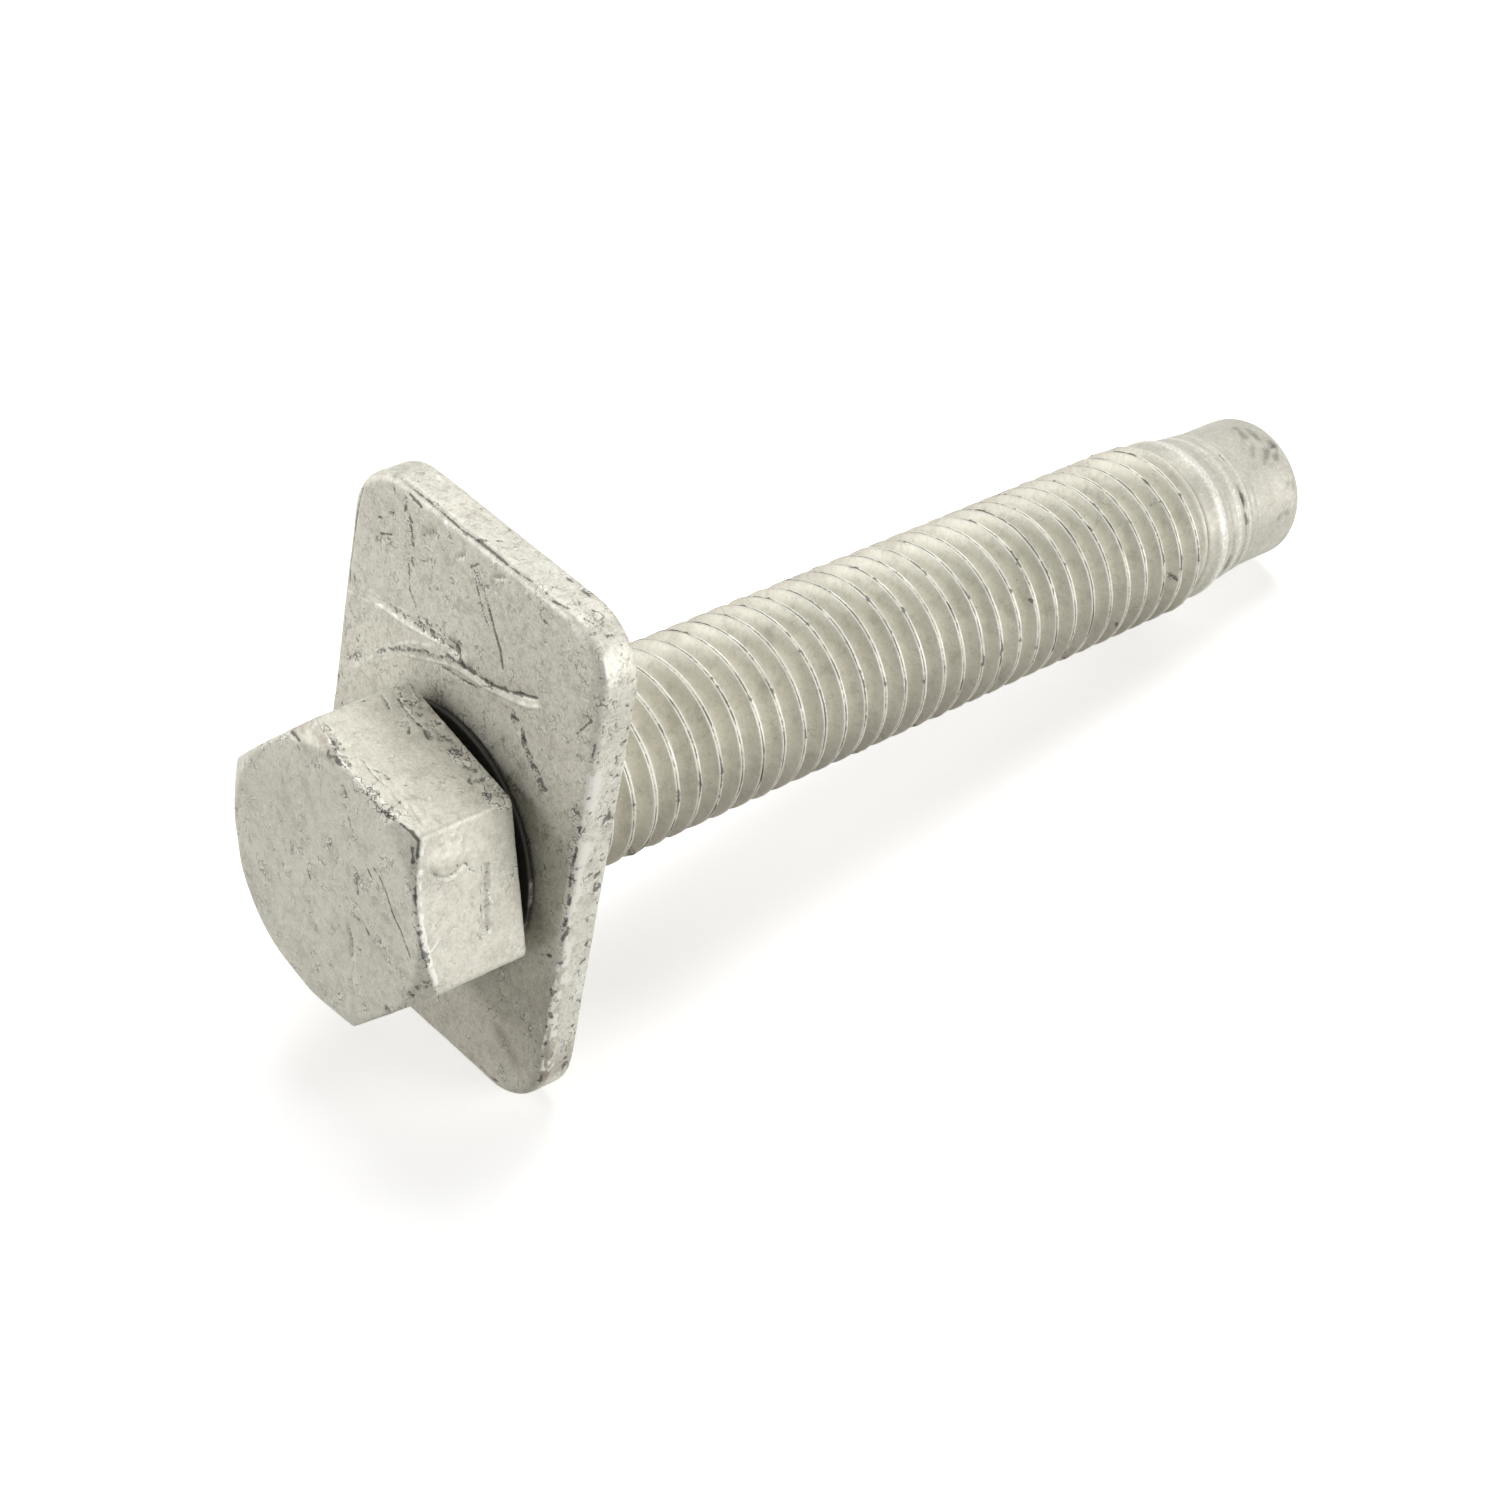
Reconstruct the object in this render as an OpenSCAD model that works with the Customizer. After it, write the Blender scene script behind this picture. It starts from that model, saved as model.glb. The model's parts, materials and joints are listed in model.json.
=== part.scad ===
// Hexagon bolt with a captive rectangular plate washer and a plain pilot point.
// Millimetres. Each piece is drawn along +Z: bearing face at Z = 0, point upwards,
// the plate's long side towards -X. lay() then puts it down in its rest pose.

/* [Hexagon head] */
// Width across the flats, the wrench size
head_af = 17; // [16.5:0.1:18]
// Width across the corners, left by the turned blank
head_corners = 19.5; // [18.6:0.1:20]
// Height of the hexagon from the collar to the crown
head_h = 7.4; // [6:0.1:8.5]
// Angle of the turned chamfer round the crown
head_chamfer = 30; // [15:1:35]
// Diameter of the flat crown inside the chamfer
crown_d = 16.9; // [14:0.1:17.5]
// Roll of the hexagon about the bolt's axis
head_roll = 41.5; // [0:0.5:60]
// Diameter of the round collar under the hexagon
collar_d = 16.7; // [14:0.1:16.9]
// Height from the bearing face to the hexagon
collar_h = 1.1; // [0.8:0.1:2]
// Height of the collar's rim, below the recess
rim_h = 0.35; // [0.2:0.05:0.6]
// Depth of the recess between the rim and the hexagon
recess = 1.2; // [0.4:0.1:2]

/* [Shank and thread] */
// Diameter over the thread crests
thread_d = 11.85; // [11.7:0.01:12]
// Diameter at the bottom of the thread
thread_root_d = 9.7; // [9.5:0.05:10.2]
// Axial distance from one crest to the next
pitch = 1.75; // [1.25:0.25:1.75]
// Number of turns of thread
turns = 32.25; // [20:0.25:32.25]
// Flat segments in one turn of the thread
segments = 24; // [16:4:32]
// Diameter of the plain neck that the plate turns on
neck_d = 10.8; // [10.4:0.1:11.1]
// Length of the neck under the head
neck_l = 3.85; // [3:0.05:5]

/* [Pilot point] */
// Distance from the bearing face to the end of the point
bolt_l = 73; // [72:0.5:80]
// Diameter of the plain point
point_d = 9.9; // [9:0.1:10]
// Length of the plain point
point_l = 4.6; // [3.5:0.1:6]
// Rounding at the end of the point
point_r = 1.3; // [0.5:0.1:2]
// Diameter of the ring where the thread ends
shoulder_d = 11.3; // [10.6:0.1:11.6]

/* [Plate washer] */
// Width of the plate
plate_w = 22; // [20:0.5:26]
// Length of the plate
plate_l = 35; // [30:0.5:40]
// Thickness of the plate
plate_t = 2.6; // [2:0.1:3]
// Radius of the plate's corners
plate_corner_r = 4; // [2:0.25:6]
// Distance of the hole from the plate's centre, lengthwise
hole_shift = 2.75; // [0:0.25:6]
// Diameter of the hole, smaller than the thread so that the plate stays on
hole_d = 11.3; // [11.2:0.05:11.5]
// Width of the broken edge round the plate
plate_edge = 0.3; // [0.1:0.05:0.5]
// Gap between the collar and the plate
plate_gap = 0.1; // [0.05:0.05:0.3]

/* [Hidden] */
$fn = 96;

// Thread form, as fractions of the pitch: root flat, rising flank, crest flat, falling flank.
flank_up = 0.20;
crest_from = 0.53;
crest_to = 0.67;
// Half a turn of run-out at each end of the thread.
run_out = segments / 2;
// The plain ends of the threaded body sink this far into the neck and the shoulder.
sink = 0.15;
steps = turns * segments;
thread_z = neck_l + sink;
thread_end = thread_z + (turns + 1) * pitch;
shoulder_z = thread_end + sink;
// Pieces of the bolt run into each other by overlap where they are joined.
overlap = 0.5;
// Radius of the plain core, just inside the flats of the threaded body.
core_gap = 0.05;
core_r = thread_root_d / 2 * cos(180 / segments) - core_gap;

// The shoulder ring's length, its chamfer towards the thread and its step to the taper.
ring_l = 1.1;
ring_edge = 0.4;
ring_step = 0.25;

crown_z = -collar_h - head_h;
crown_r = crown_d / 2;
corner_r = head_corners / 2;
chamfer_h = (corner_r - crown_r) * tan(head_chamfer);

// The bolt lies on the lower edge of the plate and on the rounded end of its point.
// lean is the downward slope of the axis at which both touch the ground.
foot_u = plate_l / 2 - hole_shift;
foot_z = plate_gap + plate_t - plate_edge;
tip_z = bolt_l - point_r;
tip_u = point_d / 2 - point_r;
lean = acos(point_r / norm([foot_u - tip_u, tip_z - foot_z]))
    - atan2(tip_z - foot_z, foot_u - tip_u);
rest_h = foot_z * sin(lean) + foot_u * cos(lean);
// The origin is under the middle of the bounding box.
x_low = crown_z * cos(lean) - crown_r * sin(lean);
x_high = tip_z * cos(lean) + tip_u * sin(lean) + point_r;
rest_x = -(x_low + x_high) / 2;

// Puts a piece drawn along +Z down as the bolt comes to rest.
module lay() {
    translate([rest_x, 0, rest_h]) rotate([0, 90 + lean, 0]) children();
}

// Radius of the thread at step i for a height from 0 at the root to 1 at the crest.
function thread_r(i, height) =
    let (fade = max(0, min(1, i / run_out, (steps - i) / run_out)))
    thread_root_d / 2 + (thread_d - thread_root_d) / 2 * height * fade;
function on_turn(r, i, z) =
    [r * cos(360 * i / segments), r * sin(360 * i / segments), z];

// One right-hand ridge wound on a core, closed by a flat cap at each end. Each step round
// the axis has four points: two on the root flat and two on the crest flat.
module threaded_body() {
    forms = [[0, 0], [flank_up, 0], [crest_from, 1], [crest_to, 1]];
    ridge = [for (i = [0:steps]) for (f = forms)
        on_turn(thread_r(i, f[1]), i, thread_z + pitch * (i / segments + f[0]))];
    // The root line goes on for one more turn above the ridge.
    tail = [for (i = [steps + 1:steps + segments])
        on_turn(thread_root_d / 2, i, thread_z + pitch * i / segments)];
    low = [for (i = [0:segments - 1]) on_turn(thread_root_d / 2, i, neck_l - sink)];
    high = [for (i = [0:segments - 1])
        on_turn(thread_root_d / 2, i + steps, shoulder_z + sink)];

    tail_at = len(ridge);
    low_at = tail_at + len(tail);
    high_at = low_at + len(low);
    function root(i) = i <= steps ? 4 * i : tail_at + i - steps - 1;
    function rim(i, k) = k < 4 ? 4 * i + k : root(i + segments);
    function bottom(i) = low_at + i % segments;
    function top(i) = high_at + (i - steps) % segments;

    polyhedron(
        points = concat(ridge, tail, low, high),
        faces = concat(
            [for (i = [0:steps - 1]) for (k = [0:3]) for (t = [0, 1]) t == 0
                ? [rim(i, k), rim(i, k + 1), rim(i + 1, k)]
                : [rim(i + 1, k), rim(i, k + 1), rim(i + 1, k + 1)]],
            [for (i = [0:segments - 2]) for (t = [0, 1]) t == 0
                ? [bottom(i), root(i), bottom(i + 1)]
                : [bottom(i + 1), root(i), root(i + 1)]],
            [[root(segments - 1), bottom(0), bottom(segments - 1)],
             [root(segments - 1), rim(0, 0), bottom(0)]],
            [for (k = [0:3]) [root(segments - 1), rim(0, k + 1), rim(0, k)]],
            [for (i = [steps + 1:steps + segments - 1]) for (t = [0, 1]) t == 0
                ? [root(i), top(i), root(i + 1)]
                : [root(i + 1), top(i), top(i + 1)]],
            [[root(steps + 1), top(steps), top(steps + 1)],
             [root(steps + 1), rim(steps, 4), top(steps)]],
            [for (k = [0:3]) [root(steps + 1), rim(steps, k), rim(steps, k + 1)]],
            [[for (i = [0:segments - 1]) bottom(i)]],
            [[for (i = [segments - 1:-1:0]) top(steps + i)]]
        )
    );
}

// Hexagon cut from a turned blank, which rounds its corners and chamfers its crown.
module hexagon() {
    intersection() {
        translate([0, 0, crown_z]) rotate([0, 0, head_roll])
            cylinder(d = head_af / cos(30), h = head_h, $fn = 6);
        rotate_extrude() polygon([
            [0, crown_z - overlap],
            [crown_r - overlap / tan(head_chamfer), crown_z - overlap],
            [corner_r, crown_z + chamfer_h],
            [corner_r, overlap - collar_h], [0, overlap - collar_h]
        ]);
    }
}

// Collar with a thin rim on the bearing face and a recess behind the hexagon.
module collar() {
    rim_r = collar_d / 2;
    rotate_extrude() polygon([
        [0, -collar_h - overlap], [rim_r - recess, -collar_h - overlap],
        [rim_r - recess, -rim_h], [rim_r, -rim_h], [rim_r, 0], [0, 0]
    ]);
}

// Shoulder ring, turned taper and rounded plain point.
module point() {
    shoulder_r = shoulder_d / 2;
    point_z = bolt_l - point_l;
    rotate_extrude() union() {
        polygon([
            [0, shoulder_z], [shoulder_r - ring_edge, shoulder_z],
            [shoulder_r, shoulder_z + ring_edge], [shoulder_r, shoulder_z + ring_l],
            [shoulder_r - ring_step, shoulder_z + ring_l + ring_step],
            [point_d / 2, point_z], [point_d / 2, tip_z], [0, tip_z]
        ]);
        translate([0, tip_z - overlap]) square([tip_u, point_r + overlap]);
        translate([tip_u, tip_z]) intersection() {
            circle(r = point_r);
            square(point_r);
        }
    }
}

// One forged and rolled piece: head, collar, neck, thread and point.
module bolt() {
    color("silver") lay() {
        hexagon();
        collar();
        translate([0, 0, -overlap]) cylinder(d = neck_d, h = neck_l + overlap);
        threaded_body();
        cylinder(r = core_r, h = shoulder_z + overlap);
        point();
    }
}

// Outline of a flat bar with broken edges, from -half to half, standing on the X axis.
module bar_section(half) {
    polygon([
        [-half, plate_edge], [plate_edge - half, 0], [half - plate_edge, 0],
        [half, plate_edge], [half, plate_t - plate_edge], [half - plate_edge, plate_t],
        [plate_edge - half, plate_t], [-half, plate_t - plate_edge]
    ]);
}

// Blanked plate: a long bar, a cross bar and four turned corners, all with broken edges.
module plate_blank() {
    half_w = plate_w / 2;
    half_l = plate_l / 2;
    inner_w = half_w - plate_corner_r;
    inner_l = half_l - plate_corner_r;
    translate([0, inner_w, 0]) rotate([90, 0, 0])
        linear_extrude(2 * inner_w) bar_section(half_l);
    rotate([0, 0, 90]) translate([0, inner_l, 0]) rotate([90, 0, 0])
        linear_extrude(2 * inner_l) bar_section(half_w);
    for (x = [-inner_l, inner_l]) for (y = [-inner_w, inner_w])
        translate([x, y, 0]) rotate_extrude() polygon([
            [0, 0], [plate_corner_r - plate_edge, 0], [plate_corner_r, plate_edge],
            [plate_corner_r, plate_t - plate_edge], [plate_corner_r - plate_edge, plate_t],
            [0, plate_t]
        ]);
}

// Rectangular washer, captive between the collar and the thread.
module plate_washer() {
    color("gainsboro") lay() translate([0, 0, plate_gap]) difference() {
        translate([-hole_shift, 0, 0]) plate_blank();
        translate([0, 0, -overlap]) cylinder(d = hole_d, h = plate_t + 2 * overlap);
    }
}

bolt();
plate_washer();
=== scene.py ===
"""Looks of a hexagon bolt with a captive plate washer, lying at rest on a pale floor.

The pieces are modelled on a bench, in millimetres, as they are drawn: the bolt's axis along +Z,
the bearing face at Z = 0, the point upwards and the plate's longer end towards -X. Each finished
piece is then laid down in its rest pose, in metres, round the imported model.
"""

import json
import logging
import math
from abc import ABC, abstractmethod
from dataclasses import dataclass
from enum import Enum
from typing import Any, Callable, Protocol

import bmesh
import bpy
import numpy as np
from mathutils import Matrix, Vector

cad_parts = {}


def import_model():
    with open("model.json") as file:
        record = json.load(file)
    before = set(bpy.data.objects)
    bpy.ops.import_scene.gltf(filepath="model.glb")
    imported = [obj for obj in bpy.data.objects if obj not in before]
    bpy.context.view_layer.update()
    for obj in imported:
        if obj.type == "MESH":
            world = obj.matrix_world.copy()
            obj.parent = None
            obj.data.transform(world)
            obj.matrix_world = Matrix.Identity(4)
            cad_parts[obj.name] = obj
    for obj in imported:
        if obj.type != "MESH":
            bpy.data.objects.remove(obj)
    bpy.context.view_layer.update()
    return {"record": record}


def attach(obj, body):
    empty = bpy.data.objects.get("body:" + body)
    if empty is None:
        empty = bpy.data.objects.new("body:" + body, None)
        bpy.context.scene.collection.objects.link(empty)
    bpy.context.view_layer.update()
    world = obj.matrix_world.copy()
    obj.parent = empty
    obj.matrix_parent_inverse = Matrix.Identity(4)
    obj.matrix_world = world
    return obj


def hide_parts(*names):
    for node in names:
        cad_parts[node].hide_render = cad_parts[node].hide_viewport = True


log = logging.getLogger("bolt")

MM = 0.001
FULL_TURN = 2 * math.pi
WHITE = "#FFFFFF"
# Vertices that are nearer to each other than this, in mm, are merged.
DOUBLES = 0.001
# How far a bar or a punch runs past the piece that it cuts, in mm.
OVERRUN = 1.0
# How far a form that is joined to the head goes into it, in mm.
SUNK = 0.5
# Steps in the turn of a plain round form.
ROUND = 96
# Inputs and output of a Mix node that mixes colours.
MIX_A, MIX_B, MIX_RESULT = 6, 7, 2
# What a finished mesh tells its material about each vertex, from 0 to 1.
WEAR = ("worn_and_highlight", "grime_and_shade", "stain_and_shade", "busy")

Point = tuple[float, float]


def linear(colour: str) -> tuple[float, float, float, float]:
    """Turns an sRGB hex colour into the linear colour that a shader takes.

    Args:
        colour: the colour, such as "#C4C1B2".

    Returns:
        Linear red, green and blue, and an alpha of 1.
    """
    parts = [int(colour[i:i + 2], 16) / 255 for i in (1, 3, 5)]
    red, green, blue = (p / 12.92 if p <= 0.04045 else ((p + 0.055) / 1.055) ** 2.4 for p in parts)
    return red, green, blue, 1.0


def add_node(
    tree: bpy.types.NodeTree,
    kind: str,
    settings: dict[str, Any] | None = None,
    links: dict[str | int, Any] | None = None,
) -> bpy.types.Node:
    """Adds a node to a tree, with its settings and what goes into its sockets.

    Args:
        tree: the node tree.
        kind: Blender's name for the node.
        settings: the node's own properties.
        links: for each input socket, a value or the output socket that feeds it.

    Returns:
        The new node.
    """
    made = tree.nodes.new(kind)
    for name, value in (settings or {}).items():
        setattr(made, name, value)
    for name, value in (links or {}).items():
        if isinstance(value, bpy.types.NodeSocket):
            tree.links.new(value, made.inputs[name])
        else:
            made.inputs[name].default_value = value
    return made


def empty_tree(owner: bpy.types.Material | bpy.types.World) -> bpy.types.NodeTree:
    """Gives a material or a world an empty node tree.

    Args:
        owner: the material or the world.

    Returns:
        Its tree.
    """
    owner.use_nodes = True
    owner.node_tree.nodes.clear()
    return owner.node_tree


def smooth_step(values: np.ndarray, low: float, high: float) -> np.ndarray:
    """Rises smoothly from 0 at low to 1 at high, or falls where low is above high."""
    share = np.clip((values - low) / (high - low), 0.0, 1.0)
    return share * share * (3 - 2 * share)


@dataclass(frozen=True)
class RestPose:
    """Where the bolt's drawing lies in the frame.

    Attributes:
        origin: the bearing face's centre, in metres.
        axis: the direction from the head to the point.
    """

    origin: Vector
    axis: Vector

    @classmethod
    def from_record(cls, record: dict[str, Any], head_l: float) -> "RestPose":
        """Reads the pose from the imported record.

        Args:
            record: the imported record.
            head_l: height of the head with its collar, in mm.

        Returns:
            The pose.
        """
        crown = next(m for m in record["mounts"] if m["name"] == "hex_head")
        axis = -Vector(crown["axis"]).normalized()
        return cls(origin=Vector(crown["pos_m"]) + axis * head_l * MM, axis=axis)

    def matrix(self) -> Matrix:
        """Works out how the bench, in mm, lies in the frame, in metres.

        Returns:
            The matrix from the bench to the frame.
        """
        across = Vector((0, 1, 0))
        turn = Matrix((across.cross(self.axis), across, self.axis)).transposed()
        return Matrix.Translation(self.origin) @ turn.to_4x4() @ Matrix.Scale(MM, 4)


class Bench:
    """Modelling steps, each done as by hand, in millimetres."""

    @staticmethod
    def clear() -> None:
        """Leaves edit mode and deselects everything."""
        if bpy.context.mode != "OBJECT":
            bpy.ops.object.mode_set(mode="OBJECT")
        bpy.ops.object.select_all(action="DESELECT")

    @staticmethod
    def take(piece: bpy.types.Object) -> None:
        """Selects one piece, alone, and makes it active.

        Args:
            piece: the piece.
        """
        Bench.clear()
        piece.select_set(True)
        bpy.context.view_layer.objects.active = piece

    @staticmethod
    def start(name: str) -> bpy.types.Object:
        """Names the primitive that was just added and puts its place into its mesh.

        Args:
            name: the piece's name.

        Returns:
            The piece.
        """
        piece = bpy.context.object
        piece.name = piece.data.name = name
        bpy.ops.object.transform_apply(location=True, rotation=True, scale=True)
        return piece

    @staticmethod
    def bar(
        name: str, sides: int, radius: float, low: float, high: float, roll: float = 0.0
    ) -> bpy.types.Object:
        """Adds an upright bar.

        Args:
            name: the piece's name.
            sides: number of sides.
            radius: radius over the corners.
            low: Z of its lower end.
            high: Z of its upper end.
            roll: its turn about the axis, in degrees. At 0 a corner points along +Y.

        Returns:
            The bar.
        """
        Bench.clear()
        bpy.ops.mesh.primitive_cylinder_add(
            vertices=sides, radius=radius, depth=high - low,
            location=(0, 0, (low + high) / 2), rotation=(0, 0, math.radians(roll)),
        )
        return Bench.start(name)

    @staticmethod
    def line(name: str, points: list[Point]) -> bpy.types.Object:
        """Draws a line in the XZ plane by extruding one vertex from point to point.

        Args:
            name: the piece's name.
            points: (radius, Z) of each point.

        Returns:
            The line, left in edit mode with all of it selected.
        """
        Bench.clear()
        first = points[0]
        bpy.ops.mesh.primitive_plane_add(size=1, location=(first[0], 0, first[1]))
        piece = Bench.start(name)
        bpy.ops.object.mode_set(mode="EDIT")
        bpy.ops.mesh.select_all(action="SELECT")
        bpy.ops.mesh.merge(type="CENTER")
        for here, there in zip(points, points[1:]):
            step = (there[0] - here[0], 0, there[1] - here[1])
            bpy.ops.mesh.extrude_vertices_move(TRANSFORM_OT_translate={"value": step})
        bpy.ops.mesh.select_all(action="SELECT")
        return piece

    @staticmethod
    def turned(name: str, points: list[Point], steps: int) -> bpy.types.Object:
        """Spins a profile round the axis, as on a lathe.

        Args:
            name: the piece's name.
            points: (radius, Z) of each point, from the axis out and back to it.
            steps: number of steps in the turn.

        Returns:
            The closed piece.
        """
        piece = Bench.line(name, points)
        bpy.ops.mesh.spin(steps=steps, angle=FULL_TURN, center=(0, 0, 0), axis=(0, 0, 1))
        Bench.close_up()
        return piece

    @staticmethod
    def close_up() -> None:
        """Merges doubles of the piece in edit mode, turns its faces outwards and leaves it."""
        bpy.ops.mesh.select_all(action="SELECT")
        bpy.ops.mesh.remove_doubles(threshold=DOUBLES)
        bpy.ops.mesh.normals_make_consistent(inside=False)
        bpy.ops.object.mode_set(mode="OBJECT")

    @staticmethod
    def select_edges(piece: bpy.types.Object, wanted: Callable[[Vector, Vector], bool]) -> None:
        """Opens a piece in edit mode with the wanted edges selected.

        Args:
            piece: the piece.
            wanted: says of an edge's two ends whether it is selected.
        """
        Bench.take(piece)
        bpy.ops.object.mode_set(mode="EDIT")
        bpy.ops.mesh.select_mode(type="EDGE")
        bpy.ops.mesh.select_all(action="DESELECT")
        shape = bmesh.from_edit_mesh(piece.data)
        for edge in shape.edges:
            edge.select_set(wanted(edge.verts[0].co, edge.verts[1].co))
        bmesh.update_edit_mesh(piece.data)

    @staticmethod
    def modify(piece: bpy.types.Object, kind: str, **settings: Any) -> None:
        """Adds a modifier with its settings and applies it.

        Args:
            piece: the piece.
            kind: Blender's name for the modifier.
            settings: the modifier's properties.
        """
        Bench.take(piece)
        modifier = piece.modifiers.new(kind.title(), kind)
        for name, value in settings.items():
            setattr(modifier, name, value)
        bpy.ops.object.modifier_apply(modifier=modifier.name)

    @staticmethod
    def cut(piece: bpy.types.Object, tool: bpy.types.Object, operation: str) -> None:
        """Cuts a piece with a tool, or keeps what both share, and throws the tool away."""
        Bench.modify(piece, "BOOLEAN", object=tool, operation=operation, solver="EXACT")
        bpy.data.objects.remove(tool)

    @staticmethod
    def join(piece: bpy.types.Object, other: bpy.types.Object) -> None:
        """Joins another piece into a piece.

        Args:
            piece: the piece that stays.
            other: the piece that goes into it.
        """
        Bench.take(piece)
        other.select_set(True)
        bpy.ops.object.join()

    @staticmethod
    def blast(piece: bpy.types.Object, grain: float, rounds: int) -> None:
        """Remeshes a piece in even grains and rounds its edges, as blasting and coating do."""
        Bench.modify(piece, "REMESH", mode="VOXEL", voxel_size=grain, adaptivity=0.0)
        Bench.modify(piece, "SMOOTH", factor=0.5, iterations=rounds)

    @staticmethod
    def thin(piece: bpy.types.Object, share: float, wanted: Callable[[Vector], bool]) -> None:
        """Collapses the mesh of one part of a piece, where little shows.

        Args:
            piece: the piece.
            share: share of all faces that is left.
            wanted: says of a vertex's place whether the mesh may collapse there.
        """
        group = piece.vertex_groups.new(name="thin")
        group.add([v.index for v in piece.data.vertices if wanted(v.co)], 1.0, "REPLACE")
        Bench.modify(piece, "DECIMATE", ratio=share, vertex_group=group.name)
        piece.vertex_groups.clear()

    @staticmethod
    def lay_down(piece: bpy.types.Object, pose: RestPose) -> None:
        """Puts a finished piece into its rest pose, with its place in its mesh.

        Args:
            piece: the piece.
            pose: the bolt's rest pose.
        """
        Bench.take(piece)
        piece.matrix_world = pose.matrix()
        bpy.ops.object.transform_apply(location=True, rotation=True, scale=True)
        bpy.ops.object.shade_smooth()


class Lattice:
    """Smooth seeded noise between 0 and 1, from random values on a lattice."""

    SIDE = 48
    # How far each finer layer is moved along, so that no two layers meet at one place.
    SHIFT = 7.3

    def __init__(self, seed: int) -> None:
        """Draws the lattice's random values from a seed."""
        self._values = np.random.default_rng(seed).random((self.SIDE,) * 3)

    def at(self, points: np.ndarray, grain: float, octaves: int = 1) -> np.ndarray:
        """Gives the noise at some points.

        Args:
            points: points in mm, one a row.
            grain: size of a lump, in mm.
            octaves: how many finer layers are added, each half as strong.

        Returns:
            One value a point.
        """
        total, weight = np.zeros(len(points)), 0.0
        for octave in range(octaves):
            total += self._layer(points * 2**octave / grain + self.SHIFT * octave) / 2**octave
            weight += 1 / 2**octave
        return total / weight

    def _layer(self, places: np.ndarray) -> np.ndarray:
        """Interpolates the lattice smoothly.

        Args:
            places: places in lattice steps, one a row.

        Returns:
            One value a place.
        """
        base = np.floor(places).astype(int)
        share = smooth_step(places - base, 0.0, 1.0)
        total = np.zeros(len(places))
        for corner in np.ndindex(2, 2, 2):
            at = (base + corner) % self.SIDE
            weight = np.prod(np.where(corner, share, 1 - share), axis=1)
            total += weight * self._values[at[:, 0], at[:, 1], at[:, 2]]
        return total


class Surface(Protocol):
    """A surface on which marks are placed by two measures."""

    def point(self, first: float, second: float) -> tuple[float, float, float]:
        """Gives the point of the drawing at two measures on the surface."""


@dataclass(frozen=True)
class Flat:
    """A flat face, with its corner point and the directions of its two measures."""

    origin: tuple[float, float, float]
    first: tuple[float, float, float]
    second: tuple[float, float, float]

    def point(self, first: float, second: float) -> tuple[float, float, float]:
        """Gives the point at two lengths on the face."""
        along = Vector(self.first) * first + Vector(self.second) * second
        return tuple(Vector(self.origin) + along)


@dataclass(frozen=True)
class Barrel:
    """A round surface about the axis, measured by Z and by the angle up from the left side."""

    radius: float

    def point(self, first: float, second: float) -> tuple[float, float, float]:
        """Gives the point at a height and an angle in degrees."""
        angle = math.radians(second)
        return -self.radius * math.sin(angle), self.radius * math.cos(angle), first


@dataclass(frozen=True)
class Crown:
    """A round flat face with a chamfer round it, measured to the left and up.

    Attributes:
        top: Z of the flat.
        flat_r: its radius.
        slope: how far the chamfer drops for each mm outwards.
    """

    top: float
    flat_r: float
    slope: float

    def point(self, first: float, second: float) -> tuple[float, float, float]:
        """Gives the point on the flat or on the chamfer."""
        drop = max(0.0, math.hypot(first, second) - self.flat_r) * self.slope
        return -second, first, self.top + drop


@dataclass(frozen=True)
class RolledFace:
    """The plate's front, measured to the left and up, and carried on round its rolled edge.

    Attributes:
        half_w: half the plate's width.
        half_l: half its length.
        rise: how far its middle is above the bolt's axis.
        corner_r: radius of its corners.
        roll_r: radius of its rolled edge.
        low: Z of the front.
    """

    half_w: float
    half_l: float
    rise: float
    corner_r: float
    roll_r: float
    low: float

    def point(self, first: float, second: float) -> tuple[float, float, float]:
        """Gives the point on the front, on the rolled edge or on the side behind it.

        Args:
            first: distance to the left of the bolt's axis.
            second: distance above the bolt's axis. What lies past the rolled edge goes on
                along the side.

        Returns:
            The point of the drawing.
        """
        middle = Vector((first, second - self.rise))
        inner = Vector((self.half_w - self.corner_r, self.half_l - self.corner_r))
        out = Vector((max(abs(middle.x) - inner.x, 0.0), max(abs(middle.y) - inner.y, 0.0)))
        over = out.length - self.corner_r + self.roll_r
        if over <= 0:
            return -second, first, self.low
        away = Vector((math.copysign(out.x, middle.x), math.copysign(out.y, middle.y))).normalized()
        angle = min(over / self.roll_r, math.pi / 2)
        foot = Vector((first, second)) + away * (self.roll_r * math.sin(angle) - over)
        past = over - self.roll_r * angle
        return -foot.y, foot.x, self.low + self.roll_r * (1 - math.cos(angle)) + past


@dataclass(frozen=True)
class Stroke:
    """What one stroke of a mark does to a surface.

    Attributes:
        width: half its width, in mm.
        lift: how far the surface goes out, or in where it is negative, in mm.
        worn_and_highlight: strength of its bright wear and painted highlight.
        grime_and_shade: strength of its dark grime and painted shade.
        stain_and_shade: strength of its brown stain and painted shade.
        busy: how much fine wear it has round it, drawn as pits and as painted shade and highlight
            lines of fine relief.
        ragged: from 0 for a clean line to 1 for one that is broken up.
    """

    width: float
    lift: float = 0.0
    worn_and_highlight: float = 0.0
    grime_and_shade: float = 0.0
    stain_and_shade: float = 0.0
    busy: float = 0.0
    ragged: float = 0.5


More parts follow.
